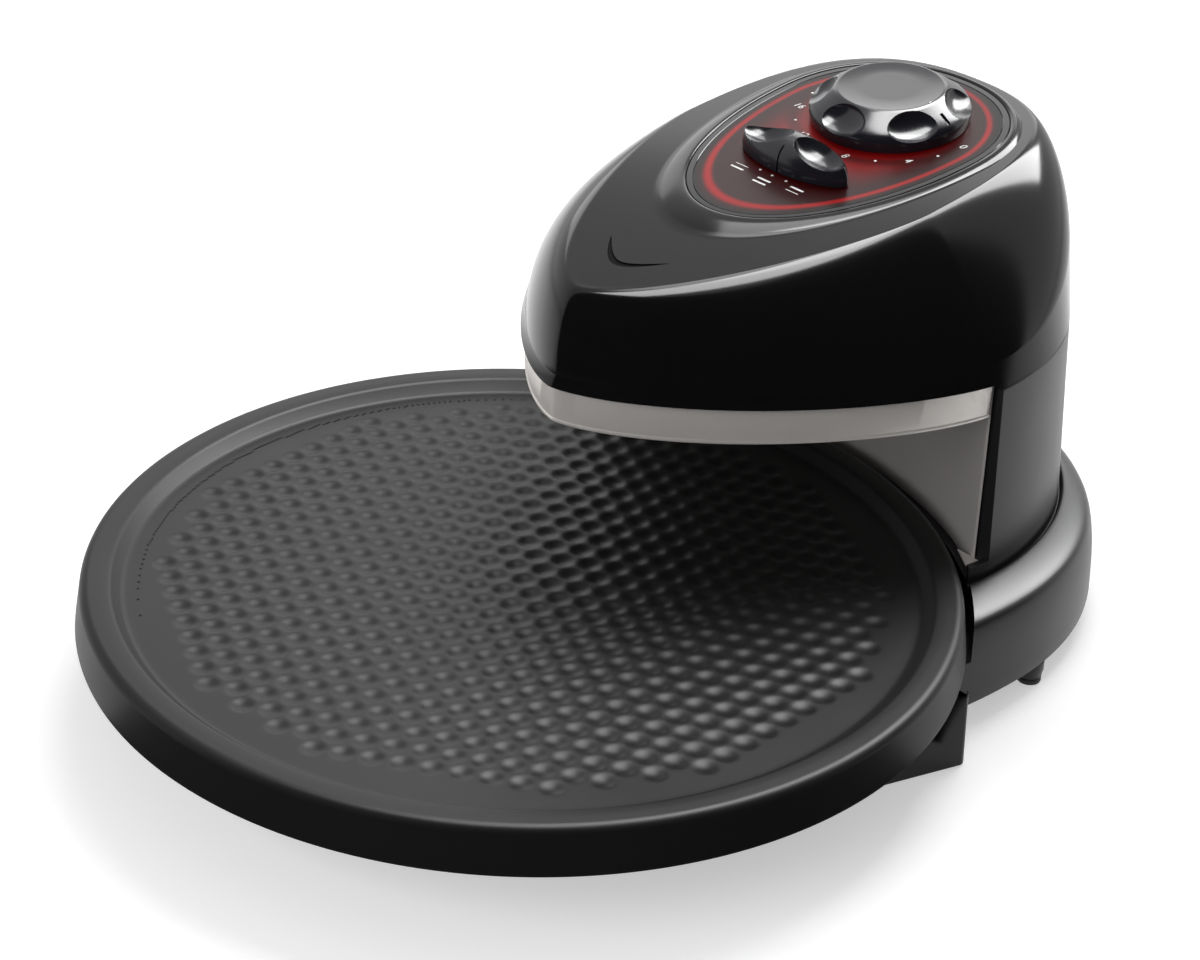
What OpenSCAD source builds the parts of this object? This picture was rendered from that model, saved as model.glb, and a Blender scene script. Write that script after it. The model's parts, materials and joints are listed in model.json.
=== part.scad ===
// Countertop pizza oven with a rotating pan.
// Machine frame: +Z up, the floor at z = 0, the front towards -Y. The origin is the middle of the
// footprint. Most pieces are drawn about the pan's axis and then moved to it by at_pan_axis().

/* [Pan] */
// Radius of the flat rim of the baking pan
rim_r = 175; // [165:1:180]
// How much wider the skirt is at its lower edge than at the rim
skirt_flare = 2; // [1:0.5:4]
// Height of the rim above the floor
rim_z = 56; // [54:0.5:62]
// Height of the skirt, from the rim to its lower edge
skirt_h = 19.6; // [14:0.2:20]
// Width of the flat rim
rim_w = 12; // [8:0.5:20]
// Depth of the well below the rim
well_depth = 5; // [4.5:0.5:7]
// Width of the slope between the well and the rim
well_slope = 4.5; // [3:0.5:8]
// Thickness of the pan's sheet
pan_sheet = 1.5; // [1:0.1:2]
// Running gap between the turning pan and the column's sill
pan_gap = 2.5; // [2:0.5:4]
// Running gap between the turning pan and the recess that it turns in
recess_gap = 6; // [5:0.5:7]

/* [Base] */
// Half of the width of the base
base_half_w = 138.5; // [132:0.5:146]
// Distance of the base's widest line in front of the head's widest line
base_lead = 10; // [8:0.5:12]
// Reach of the base in front of the pan's axis
base_front = 32; // [29:1:40]
// Length of the base behind its widest line
base_tail = 140; // [136:1:150]
// Height of the base's lower edge above the floor
base_z = 10.5; // [9:0.5:13]
// Height of the outer edge of the ledge round the column
ledge_edge_z = 45; // [42:0.5:46]
// Height of the crest of the ledge round the column
ledge_z = 50; // [48:0.5:52]
// Height of the deck that the column stands on
column_deck_z = 47; // [46:0.5:48]
// Height of the deck under the pan
deck_z = 31; // [30:0.25:32]
// Wall thickness of the moulded base
base_wall = 2.5; // [2:0.1:3]

/* [Tray] */
// Half of the width of the base tray at its rear corners
tray_half_w = 153.8; // [150:0.5:165]
// Distance of the tray's rear corners behind the pan's axis
tray_rear_y = 98; // [90:1:110]
// Half of the width of the tray where its front corners begin
tray_front_half_w = 112; // [100:1:120]
// Distance of the tray's front edge in front of the pan's axis
tray_front_y = 92; // [80:1:100]
// Radius of the tray's front corners
tray_front_r = 62; // [40:1:70]
// Height of the tray
tray_h = 33; // [32:0.5:34]
// Wall thickness of the tray
tray_wall = 2.4; // [1.8:0.1:3]

/* [Head and column] */
// Half of the width of the head and of the column
head_half_w = 112; // [108:0.5:116]
// Distance of the head's widest line inside the rear of the pan's rim
head_setback = 25; // [22:0.5:28]
// Length of the head in front of its widest line
head_nose = 141.5; // [130:0.5:150]
// Length of the head behind its widest line
head_tail = 115; // [108:1:116]
// Height of the head's lower edge over the pan
head_z = 135; // [130:1:142]
// Height of the seam between the head and the column
seam_z = 132; // [128:0.5:134]
// Height of the head's top at the timer knob's axis
head_top_z = 196.2; // [190:0.2:206]
// Slope of the head's top at the timer knob's axis, in degrees
top_tilt = 4.57; // [3:0.01:6]
// Radius of the bow of the head's top from front to rear
top_bow_r = 2083; // [1500:1:3000]
// Half of the width of the flat part of the head's top
flat_half_w = 66.3; // [63:0.1:72]
// Length of the flat part in front of the head's widest line
flat_nose = 126.5; // [118:0.5:130]
// Length of the flat part behind the head's widest line
flat_tail = 105; // [104:0.5:107]
// Lean of the head's wall between its lower edge and its shoulder
wall_draft = 3.4; // [2:0.1:4]
// Wall thickness of the head and of the column
head_wall = 2.8; // [2.2:0.1:3.4]
// Height of the sill of the cooking opening
sill_z = 54.7; // [53:0.1:56]

/* [Control panel] */
// Distance of the timer knob's axis behind the head's widest line
knob_setback = 50.4; // [46:0.2:54]
// Height of the control panel's face over the head's top at the timer knob's axis
panel_rise = 0.8; // [0.7:0.1:2]
// Slope of the control panel, falling towards the front
panel_tilt = 5.63; // [5.2:0.01:6.2]
// Half of the width of the coloured dial field
dial_half_w = 48.9; // [44:0.1:50]
// Length of the dial field in front of the timer knob's axis
dial_front = 104.2; // [98:0.2:106]
// Length of the dial field behind the timer knob's axis
dial_rear = 43.8; // [41:0.2:45]
// Width of the black border round the dial field
dial_border = 2.8; // [2:0.1:3.5]
// Width of the ramp beside the border
ramp_w = 5.3; // [4:0.1:6]

/* [Knobs] */
// Largest radius of the timer knob
timer_knob_r = 33.8; // [30:0.2:35]
// Height of the timer knob
timer_knob_h = 14; // [12:0.5:18]
// Number of finger dimples round the timer knob
knob_dimples = 6; // [5:1:8]
// Radius of the shafts of both knobs
knob_shaft_r = 3; // [2.5:0.1:3.5]
// Distance of the selector knob's axis in front of the timer knob's axis
selector_offset = 57.5; // [54:0.5:60]
// Length of the selector knob across the panel
selector_len = 57; // [48:1:60]
// Width of the selector knob at its middle
selector_w = 19; // [16:0.5:22]
// Height of the selector knob's ridge
selector_h = 12.5; // [10:0.5:15]

/* [Heating] */
// Radius of the tubular heating elements
element_r = 3.2; // [3:0.1:4]
// Sheet thickness of the reflectors and of the heat shield
steel = 0.8; // [0.6:0.1:1.2]
// Height of the lower edge of the steel band under the head
band_z = 119; // [112:1:124]
// Distance of the steel band inside the head's outline
band_inset = 3.5; // [3.2:0.1:5]
// Gap between the turning pan's room and the heat shield behind it
shield_gap = 4; // [2:0.5:5]

/* [Drive] */
// Radius of the drive spindle
spindle_r = 5; // [4:0.1:6]
// Radius of the drive motor's can
motor_r = 25; // [20:1:28]
// Radius of the spindle's shoulder that carries the pan
shoulder_r = 11; // [9:0.5:14]

/* [Feet and fasteners] */
// Radius of the rubber pads of the feet
pad_r = 5; // [4:0.5:6]
// Thickness of the rubber pads
pad_h = 3; // [2:0.5:4]
// Radius of the screws' shanks
screw_r = 1.5; // [1.2:0.1:2]

/* [Hidden] */

// Radial clearance of a shaft that turns in its bush.
run_fit = 0.05;
// Gap between two pieces that face each other.
seat_gap = 0.3;
// Depth by which a cut passes the face that it opens.
past = 1;
// Reach of the cuts that take away everything beyond a face.
far = 500;
// Facets round the moulded outlines, round turned parts and round small parts.
outline_steps = 80;
turned_fn = 96;
small_fn = 32;

skirt_r = rim_r + skirt_flare;
skirt_z = rim_z - skirt_h;
well_z = rim_z - well_depth;
pan_under_z = well_z - pan_sheet;
sweep_r = skirt_r + pan_gap;
recess_r = skirt_r + recess_gap;
shield_r = sweep_r + shield_gap;
head_y = rim_r - head_setback;
knob_y = head_y + knob_setback;
base_y = head_y - base_lead;
base_nose = base_y + base_front;
base_rear = base_y + base_tail;
pan_axis_y = (skirt_r - base_rear) / 2;

black_gloss = "#17171a";
black_satin = "#2c2c2f";
dark_metal = "#3a3b3f";
bright_steel = "#c4c6c8";
dark_red = "#8c1416";

// ---- outlines and lofts ----

function signed_power(v, p) = sign(v) * pow(abs(v), p);

// Point of an egg outline about its widest line, nose towards -Y. Each half is a superellipse.
function egg_point(half_w, nose, tail, n_nose, n_tail, a) =
    let (n = sin(a) < 0 ? n_nose : n_tail, len = sin(a) < 0 ? nose : tail)
    [half_w * signed_power(cos(a), 2 / n), len * signed_power(sin(a), 2 / n)];

function egg(half_w, nose, tail, n_nose = 2, n_tail = 2, steps = outline_steps) =
    [for (i = [0:steps - 1]) egg_point(half_w, nose, tail, n_nose, n_tail, 360 * i / steps)];

function lifted(outline, z) = [for (p = outline) [p.x, p.y, z]];

// Closed skin through rings of equally many points, from the lowest ring to the highest.
module skin(rings) {
    n = len(rings[0]);
    last = (len(rings) - 1) * n;
    points = [for (ring = rings) each ring];
    sides = [for (k = [0:len(rings) - 2], i = [0:n - 1])
        let (a = k * n + i, b = k * n + (i + 1) % n)
        each [[a, a + n, b + n], [a, b + n, b]]];
    bottom = [for (i = [0:n - 1]) i];
    top = [for (i = [n - 1:-1:0]) last + i];
    polyhedron(points = points, faces = concat([bottom, top], sides), convexity = 6);
}

module at_pan_axis() {
    translate([0, pan_axis_y, 0]) children();
}

// Frame of the control panel: origin on its face at the timer knob's axis, Z along the knobs' axes.
module on_panel() {
    translate([0, knob_y, head_top_z + panel_rise]) rotate([panel_tilt, 0, 0]) children();
}

module both_sides() {
    children();
    mirror([1, 0, 0]) children();
}

// Upright round rod or cutter from height z.
module rod(r, z, h, fn = small_fn) {
    translate([0, 0, z]) cylinder(h = h, r = r, $fn = fn);
}

module slab(outline, z0, z1) {
    translate([0, 0, z0]) linear_extrude(z1 - z0) polygon(outline);
}

// One station of a bent tube: its place, its heading in plan and its climb.
function station(p, heading, climb = 0) = [p, heading, climb];

// Stations along an arc in plan, wound clockwise from one angle to another.
function bend_stations(centre, bend_r, from, to, step = 12) =
    let (count = ceil((from - to) / step))
    [for (i = [0:count]) let (a = from + (to - from) * i / count)
        station([centre.x + bend_r * cos(a), centre.y + bend_r * sin(a), centre.z], a - 90)];

function tube_ring(s, r, sides) =
    let (
        along = [cos(s[1]) * cos(s[2]), sin(s[1]) * cos(s[2]), sin(s[2])],
        side = [-sin(s[1]), cos(s[1]), 0],
        up = cross(along, side)
    )
    [for (i = [0:sides - 1]) let (a = 360 * i / sides) s[0] + r * (cos(a) * side + sin(a) * up)];

module bent_tube(stations, r, sides = 12) {
    skin([for (s = stations) tube_ring(s, r, sides)]);
}

// ---- base ----

base_power = 2.1;
function base_outline(inset) =
    egg(base_half_w - inset, base_nose - inset, base_tail - inset, base_power, base_power);

// Place inside the base's outline, at an angle from its widest line.
function base_spot(angle, inset) = [0, base_y]
    + egg_point(base_half_w - inset, base_nose - inset, base_tail - inset, base_power, base_power, angle);

// The base's moulded skin: a wall that leans in, a ledge and the cove inside the ledge.
module base_form(inset, top_drop) {
    wall_lean = 4;
    crest_inset = 12;
    cove_w = 2;
    translate([0, base_y, 0]) skin([
        lifted(base_outline(inset), base_z - (inset > 0 ? past : 0)),
        lifted(base_outline(inset + 0.15 * wall_lean), base_z + 0.45 * (ledge_edge_z - base_z)),
        lifted(base_outline(inset + 0.5 * wall_lean), base_z + 0.8 * (ledge_edge_z - base_z)),
        lifted(base_outline(inset + wall_lean), ledge_edge_z - top_drop),
        lifted(base_outline(inset + 0.6 * crest_inset), (ledge_edge_z + 2 * ledge_z) / 3 - top_drop),
        lifted(base_outline(crest_inset + (inset > 0 ? inset : 0)), ledge_z - top_drop),
        lifted(base_outline(crest_inset + cove_w + (inset > 0 ? inset : 0)), column_deck_z - top_drop)
    ]);
}

// Outline of the opening in the deck that the lower reflector hangs in.
lower_y = 0.64 * head_y;
lower_half_w = 0.607 * base_half_w;
lower_nose = 0.48 * head_y;
lower_tail = 0.373 * head_y;
lower_flange = 5;
function lower_outline(inset) =
    egg(lower_half_w - inset, lower_nose - inset, lower_tail - inset, 2, 2.4, 48);

// Rounded passage through the deck for the wires that go up the column.
wire_hole = [60, 24];
wire_y = head_y + 78;

module base_pedestal() {
    step_wall = 2.5;
    color(black_gloss) at_pan_axis() difference() {
        base_form(0, 0);
        // hollow under the deck
        intersection() {
            base_form(base_wall, base_wall);
            translate([0, 0, deck_z - base_wall - far]) cylinder(h = far, r = far);
        }
        // hollow under the ledge, outside the step round the pan
        difference() {
            base_form(base_wall, base_wall);
            rod(recess_r + step_wall, -past, far, turned_fn);
        }
        // room for the pan
        rod(recess_r, deck_z, far, turned_fn);
        each_column_boss() rod(screw_r, column_deck_z - 10, 20);
        both_sides() translate([motor_screw_x, 0, motor_top - past]) cylinder(h = 20, r = screw_r,
            $fn = small_fn);
        // opening for the lower reflector, hole for the spindle's bush and passage for the wires
        translate([0, lower_y, 0]) slab(lower_outline(0), deck_z - 10, deck_z + past);
        rod(bush_r, deck_z - 10, 20);
        translate([0, wire_y, column_deck_z - 10]) linear_extrude(20) square(wire_hole, center = true);
        // hole for the cord's inlet
        translate([0, base_rear - 12, inlet_z]) rotate([-90, 0, 0]) cylinder(h = 30, r = inlet_r,
            $fn = small_fn);
    }
}

cover_t = 1.5;
cover_inset = base_wall + 1;
module base_cover() {
    slot = [3, 30];
    slot_pitch = 9;
    color(black_satin) at_pan_axis() difference() {
        translate([0, base_y, 0]) slab(base_outline(cover_inset), base_z, base_z + cover_t);
        for (i = [-4:4])
            translate([i * slot_pitch, lower_y, base_z + cover_t / 2]) cube([slot.x, slot.y, 4],
                center = true);
        each_cover_screw() rod(screw_r, base_z - past, 5);
    }
}

// Places of the screws that hold the cover under the base.
module each_cover_screw() {
    both_sides() {
        translate(base_spot(18, 14)) children();
        translate(base_spot(65, 14)) children();
        translate(base_spot(-25, 14)) children();
        translate(base_spot(-73, 14)) children();
    }
}

module cover_screws() {
    head_r = 3;
    head_h = 1.6;
    shank = deck_z - base_wall - base_z - 1;
    color(dark_metal) at_pan_axis() each_cover_screw() {
        rod(head_r, base_z - head_h, head_h);
        rod(screw_r, base_z, shank);
    }
}

// ---- tray ----

tray_fit = 0.5;
tray_rear_r = 3;
tray_deck_t = 2.2;
drip_drop = 4;
module tray_plan(inset) {
    r = tray_front_r - inset;
    hull() both_sides() {
        translate([tray_half_w - tray_rear_r, tray_rear_y - tray_rear_r]) circle(tray_rear_r - min(inset,
            1), $fn = small_fn);
        translate([tray_front_half_w - tray_front_r, tray_front_r - tray_front_y]) circle(r, $fn = turned_fn);
    }
}

// Shallow drip tray under the pan's front: a rim that stands on the floor and a deck round the base.
module base_tray() {
    draft = 1.7;
    color(black_gloss) at_pan_axis() difference() {
        hull() {
            linear_extrude(0.1) tray_plan(0);
            translate([0, 0, tray_h - 0.1]) linear_extrude(0.1) tray_plan(draft);
        }
        translate([0, 0, -past]) linear_extrude(tray_h - drip_drop - tray_deck_t
            + past) tray_plan(tray_wall + draft);
        translate([0, 0, tray_h - drip_drop]) linear_extrude(drip_drop + past) tray_plan(tray_wall + draft);
        // the base fits in from behind
        translate([0, base_y, 0]) slab(base_outline(-tray_fit), -past, tray_h + past);
        translate([-far, tray_rear_y, -past]) cube([2 * far, far, far]);
    }
}

// Pads in the tray's front corners, with a shallow cup in their undersides.
module tray_pads() {
    tray_pad_r = 8;
    cup_r = 4;
    out = tray_front_r - tray_wall - 14;
    corner = [tray_front_half_w - tray_front_r, tray_front_r - tray_front_y];
    color("#202022") at_pan_axis() both_sides() {
        translate(corner + out * [cos(38), -sin(38)]) difference() {
            cylinder(h = tray_h - drip_drop - tray_deck_t, r = tray_pad_r, $fn = small_fn);
            rod(cup_r, -past, 1 + past);
        }
    }
}

// ---- column ----

nose_power = 1.47;
function head_outline(inset) =
    egg(head_half_w - inset, head_nose - inset, head_tail - inset, nose_power, 2);

// Place inside the head's outline, at an angle from its widest line.
function head_spot(angle, inset) = [0, head_y]
    + egg_point(head_half_w - inset, head_nose - inset, head_tail - inset, nose_power, 2, angle);

jamb_w = 4;
boss_r = 4;
boss_h = 12;
module column_shell() {
    color(black_satin) at_pan_axis() difference() {
        union() {
            difference() {
                translate([0, head_y, 0]) slab(head_outline(0), column_deck_z, seam_z);
                translate([0, head_y, 0]) slab(head_outline(head_wall), column_deck_z - past, seam_z + past);
            }
            each_column_boss() rod(boss_r, column_deck_z, boss_h);
            // jambs beside the cooking opening
            intersection() {
                translate([0, head_y, 0]) slab(head_outline(head_wall / 2), column_deck_z, seam_z);
                translate([-far, head_y, 0]) cube([2 * far, jamb_w, far]);
            }
        }
        each_column_boss() rod(screw_r, column_deck_z - past, boss_h);
        // cooking opening
        translate([-far, head_y - far, sill_z]) cube([2 * far, far, far]);
        // room for the pan below the sill, and for the heat shield behind it
        rod(sweep_r, column_deck_z - past, far, turned_fn);
        intersection() {
            rod(shield_r + steel + 0.1, column_deck_z - past, far, turned_fn);
            translate([-far, head_y - past, 0]) cube([2 * far, far, far]);
        }
    }
}

// Places of the bosses that the column is screwed down by.
module each_column_boss() {
    inset = head_wall + boss_r - 0.5;
    both_sides() for (angle = [20, 65]) translate(head_spot(angle, inset)) children();
}

module column_screws() {
    head_r = 3;
    head_h = 1.6;
    deck_t = base_wall;
    color(dark_metal) at_pan_axis() each_column_boss() {
        rod(head_r, column_deck_z - deck_t - head_h, head_h);
        rod(screw_r, column_deck_z - deck_t, deck_t + boss_h - 2);
    }
}

// ---- head ----

// Height of the head's bowed top at y behind the pan's axis.
function head_top(y) = head_top_z + (y - knob_y) * tan(top_tilt) - pow(y - knob_y, 2) / (2 * top_bow_r);

// Outline of the flat part of the head's top.
function flat_point(inset, angle) = [0, head_y]
    + egg_point(flat_half_w - inset, flat_nose - inset, flat_tail - inset, 1.5, 2.6, angle);

// Blend of a rear, a side and a nose value at an angle round the head.
function around(values, angle) =
    let (end = pow(sin(angle), 2))
    end * values[angle < 180 ? 0 : 2] + (1 - end) * values[1];

// Share of the head's height that its shoulder takes, and the power of the shoulder's section.
shoulder_share = [0.21, 0.85, 0.91];
shoulder_power = [2, 1.15, 2];

// One ring of the shoulder's skin, from t = 0 at the wall to t = 90 at the flat part.
function shoulder_ring(inset, drop, t) =
    [for (i = [0:outline_steps - 1]) let (
        angle = 360 * i / outline_steps,
        n = around(shoulder_power, angle),
        flat = flat_point(0.45 * inset, angle),
        wall = head_spot(angle, wall_draft + inset),
        top = head_top(flat.y),
        p = flat + (wall - flat) * pow(cos(t), 2 / n),
        h = around(shoulder_share, angle) * (top - head_z) * (1 - pow(sin(t), 2 / n)))
        [p.x, p.y, top - drop - h]];

// Outlines on the control panel, about the timer knob's axis.
dial_mid = 8;
function dial_point(side, front, rear, angle) = [0, -dial_mid]
    + egg_point(dial_half_w + side, dial_front + front - dial_mid, dial_rear + rear + dial_mid, 2, 2.2,
        angle);

function dial_outline(grow) =
    [for (i = [0:outline_steps - 1]) dial_point(grow, grow, grow, 360 * i / outline_steps)];

// Height of the control panel's face at y behind the pan's axis.
function panel_face(y) = head_top_z + panel_rise + (y - knob_y) * tan(panel_tilt);

// One ring of the ramp round the control panel: its share of the way out from the crest to the foot
// and its share of the height up from the foot to the crest.
crest_w = 1.6;
crest_rise = 0.4;
function ramp_ring(out, up) =
    let (crest = dial_border + crest_w, w = ramp_w - crest_w)
    [for (i = [0:outline_steps - 1]) let (
        p = dial_point(crest + out * w, crest + out * (2.7 * ramp_w - crest_w), crest + 0.8 * out * w,
            360 * i / outline_steps),
        y = knob_y + p.y * cos(panel_tilt),
        foot = head_top(y))
        [p.x, y, foot + up * (panel_face(y) + crest_rise - foot)]];

// Solid head with its top closed under the control panel's seat.
module head_form(z0) {
    skin([
        at_head(lifted(head_outline(0), z0)),
        for (t = [0:11.25:90]) shoulder_ring(0, 0, t),
        ramp_ring(1, 0),
        ramp_ring(0.5, 0.7),
        ramp_ring(0, 1)
    ]);
}

// Room inside the head.
module head_room(z0) {
    seat = panel_t + ledge_t;
    skin([
        at_head(lifted(head_outline(head_wall), z0)),
        for (t = [0:11.25:90]) shoulder_ring(head_wall, head_wall, t),
        [for (p = dial_outline(dial_border)) let (y = knob_y + p.y * cos(panel_tilt))
            [p.x, y, panel_face(y) - seat]]
    ]);
}

function at_head(ring) = [for (p = ring) p + [0, head_y, 0]];

panel_t = 2;
ledge_t = 1.6;
panel_fit = 0.15;
module housing_seats() {
    // step at the column, pocket and well of the control panel
    translate([-far, head_y - 1 - far, seam_z - past]) cube([2 * far, far, head_z - seam_z + past]);
    on_panel() {
        translate([0, 0, -panel_t]) linear_extrude(far) polygon(dial_outline(dial_border + panel_fit));
        translate([0, 0, -far / 10]) linear_extrude(far / 10) polygon(dial_outline(dial_border - 3));
    }
}

// V-shaped mark in the nose of the head's top, with arms that thin out.
chevron_y = head_y - 0.84 * flat_nose;
module chevron_slot() {
    arm = [16, 12.4];
    w = 3.3;
    depth = 1.4;
    slope = atan((head_top(chevron_y + arm.y) - head_top(chevron_y)) / arm.y);
    translate([0, chevron_y, head_top(chevron_y)]) rotate([slope, 0, 0]) translate([0, 0, -depth])
        linear_extrude(10) polygon([[0, -w / 2], arm, [0, w / 2], [-arm.x, arm.y]]);
}

module upper_housing() {
    color(black_gloss) at_pan_axis() difference() {
        head_form(seam_z + seat_gap);
        head_room(seam_z - past);
        housing_seats();
        chevron_slot();
    }
}

reflector_top = head_z - seat_gap;
floor_t = 1.6;
floor_z = reflector_top;
module head_floor() {
    inset = head_wall + wall_draft + seat_gap;
    color(black_satin) at_pan_axis() difference() {
        translate([0, head_y, 0]) slab(head_outline(inset), floor_z, floor_z + floor_t);
        translate([0, wire_y, floor_z - past]) linear_extrude(10) square(wire_hole, center = true);
        for (s = [-1, 1])
            translate([s * upper_pin_x, upper_pin_y, floor_z - past]) cylinder(h = 10, r = insulator_r
                + 0.2, $fn = small_fn);
    }
}

// ---- control panel ----

module control_panel() {
    lip = 0.6;
    color(black_gloss) at_pan_axis() on_panel() difference() {
        translate([0, 0, -panel_t]) linear_extrude(panel_t) polygon(dial_outline(dial_border));
        translate([0, 0, -lip]) linear_extrude(lip + past) polygon(dial_outline(0));
        rod(knob_shaft_r + 2, -panel_t - past, 10);
        translate([0, -selector_offset, -panel_t - past]) cylinder(h = 10, r = knob_shaft_r + 2,
            $fn = small_fn);
    }
}

module dial_field() {
    t = 0.5;
    color(dark_red) at_pan_axis() on_panel() difference() {
        translate([0, 0, -0.6]) linear_extrude(t) polygon(dial_outline(-0.2));
        rod(knob_shaft_r + 2, -5, 10);
        translate([0, -selector_offset, -5]) cylinder(h = 10, r = knob_shaft_r + 2, $fn = small_fn);
    }
}

// ---- knobs ----

knob_lift = 0.4;
knob_bore_depth = 9;
knob_top_r = 0.65 * timer_knob_r;

// Outer line of the timer knob's section, from its lower edge to the middle of its top.
knob_line = [
    [0.975 * timer_knob_r, 0], [timer_knob_r, 0.28 * timer_knob_h],
    [0.985 * timer_knob_r, 0.42 * timer_knob_h], [0.94 * timer_knob_r, 0.56 * timer_knob_h],
    [knob_top_r + 1.5, 0.965 * timer_knob_h], [knob_top_r - 0.6, timer_knob_h], [0, timer_knob_h]
];

// Strip on the knob's upper slope that the pointer line fills.
module pointer_strip(width_deg, depth) {
    reach = 5;
    slope = (knob_line[3] - knob_line[4]) / norm(knob_line[3] - knob_line[4]);
    tip = knob_line[4] + reach * slope;
    rotate([0, 0, -width_deg / 2]) rotate_extrude(angle = width_deg, $fn = turned_fn) polygon([
        knob_line[5], knob_line[4], tip, tip - [depth, depth], knob_line[4] - [depth, depth],
        knob_line[5] - [0, depth]]);
}

module timer_knob() {
    dimple_r = 10.5;
    dimple_at = [0.97 * timer_knob_r, 0.97 * timer_knob_h + 2];
    color(dark_metal) at_pan_axis() on_panel() translate([0, 0, knob_lift]) difference() {
        rotate_extrude($fn = turned_fn) polygon(concat([[0, 0]], knob_line));
        for (i = [0:knob_dimples - 1])
            rotate([0, 0, (i + 0.5) * 360 / knob_dimples]) translate([dimple_at.x, 0, dimple_at.y])
                sphere(dimple_r, $fn = small_fn);
        // hollow underside and the shaft's bore
        difference() {
            rod(0.72 * timer_knob_r, -past, 0.45 * timer_knob_h + past, turned_fn);
            rod(7, -past, timer_knob_h);
        }
        rod(knob_shaft_r + run_fit, -past, knob_bore_depth + past);
        pointer_strip(2, 0.5);
    }
}

module timer_pointer() {
    color("white") at_pan_axis() on_panel() translate([0, 0, knob_lift]) pointer_strip(2, 0.5);
}

module knob_shaft(len_below, len_above) {
    rod(knob_shaft_r, -len_below, len_below + len_above);
}

timer_gap = 3;
timer_case_r = 27;
timer_case_h = 24;
module timer_shaft() {
    color(bright_steel) at_pan_axis() on_panel() knob_shaft(panel_t + timer_gap + 12, knob_lift
        + knob_bore_depth - 0.2);
}

module timer_body() {
    neck_r = 6;
    color(bright_steel) at_pan_axis() on_panel() translate([0, 0, -panel_t - timer_gap]) difference() {
        union() {
            rod(timer_case_r, -timer_case_h, timer_case_h, turned_fn);
            cylinder(h = timer_gap - seat_gap, r = neck_r, $fn = small_fn);
        }
        rod(knob_shaft_r + run_fit, -14, 30);
    }
}

module timer_bracket() {
    strap = [76, 18, 1.2];
    color(bright_steel) at_pan_axis() on_panel() translate([0, 0, -panel_t - timer_gap]) difference() {
        union() {
            translate([-strap.x / 2, -strap.y / 2, 0.01]) cube(strap);
            both_sides() translate([strap.x / 2 - 6, -strap.y / 2, 0.01]) cube([6, strap.y,
                timer_gap - 0.01]);
        }
        rod(6.1, -past, 10);
    }
}

// Elongated knob with a scoop for a finger on each side of its ridge.
module selector_knob() {
    end_r = 5;
    reach = selector_len / 2 - end_r;
    scoop_r = 21;
    color(dark_metal) at_pan_axis() on_panel() translate([0, -selector_offset, knob_lift]) difference() {
        union() {
            hull() {
                both_sides() translate([reach, -1.5, 0]) cylinder(h = 0.62 * selector_h, r1 = end_r,
                    r2 = end_r - 0.8, $fn = small_fn);
                cylinder(h = 0.8 * selector_h, r1 = selector_w / 2, r2 = selector_w / 2 - 1.5,
                    $fn = small_fn);
            }
            hull() {
                translate([0, 0, 0.5 * selector_h]) cube([9, 0.8 * selector_w, 1], center = true);
                translate([0, -0.2 * selector_w, selector_h - 1.5]) rotate([-90, 0, 0]) cylinder(h = 0.4
                    * selector_w, r = 1.5, $fn = small_fn);
            }
        }
        both_sides() translate([0.3 * selector_len, -1, scoop_r + 0.36 * selector_h]) sphere(scoop_r,
            $fn = 64);
        rod(knob_shaft_r + run_fit, -past, 7 + past);
        translate([-0.5, -selector_w / 2 - 1, 0]) cube([1, 3, selector_h]);
    }
}

switch_gap = 3;
switch_r = 14;
switch_h = 18;
module selector_shaft() {
    color(bright_steel) at_pan_axis() on_panel() translate([0, -selector_offset, 0])
        knob_shaft(panel_t + switch_gap + 8, knob_lift + 6.8);
}

module selector_switch() {
    color("#d8d2c0") at_pan_axis() on_panel() translate([0, -selector_offset,
        -panel_t - switch_gap]) difference() {
        union() {
            rod(switch_r, -switch_h, switch_h, turned_fn);
            cylinder(h = switch_gap - seat_gap, r = 6, $fn = small_fn);
            for (a = [0:60:300]) rotate([0, 0, a]) translate([8, -0.4, -switch_h - 6]) cube([0.8, 4, 6.5]);
        }
        rod(knob_shaft_r + run_fit, -10, 30);
    }
}

// ---- heating ----

module reflector_plan(inset, r) {
    intersection() {
        translate([0, head_y]) polygon(head_outline(band_inset + inset));
        circle(r, $fn = 180);
    }
}

module upper_reflector() {
    back_z = reflector_top - 5;
    color(bright_steel) at_pan_axis() difference() {
        translate([0, 0, band_z]) linear_extrude(reflector_top - band_z) reflector_plan(0, shield_r - 0.3);
        translate([0, 0, band_z - past]) linear_extrude(reflector_top - steel - band_z
            + past) reflector_plan(steel, shield_r - 0.3 - steel);
        // the band ends at the jambs
        translate([-far, head_y - 0.4, band_z - past]) cube([2 * far, far, back_z - band_z + past]);
        for (s = [-1, 1])
            translate([s * upper_pin_x, upper_pin_y, reflector_top - 5]) cylinder(h = 10, r = insulator_r
                + 0.2, $fn = small_fn);
    }
}

// Angle at which the straight run leaves a bend of radius r1 at p1 for one of radius r2 at p2.
function run_angle(p1, r1, p2, r2) = atan2(p2.y - p1.y, p2.x - p1.x) - 90 + asin((r1 - r2) / norm(p2 - p1));

// Right half of a heating element, from the end of its pin to the middle of its front bend.
function element_half(front, front_r, rear, rear_r, pin_x, z, pin_z) =
    let (
        turn_r = 2.2 * element_r,
        up = sign(pin_z - z),
        end_y = rear.y + rear_r,
        lean = run_angle(front, front_r, rear, rear_r)
    )
    concat(
        [station([pin_x, end_y, pin_z], 0, -90 * up)],
        [for (a = [-90:15:0]) station(
            [pin_x + turn_r * (1 - cos(a + 90)), end_y, z + up * turn_r * (1 - cos(a))], 0, a * up)],
        bend_stations([rear.x, rear.y, z], rear_r, 90, lean),
        bend_stations([front.x, front.y, z], front_r, lean, -90)
    );

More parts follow.
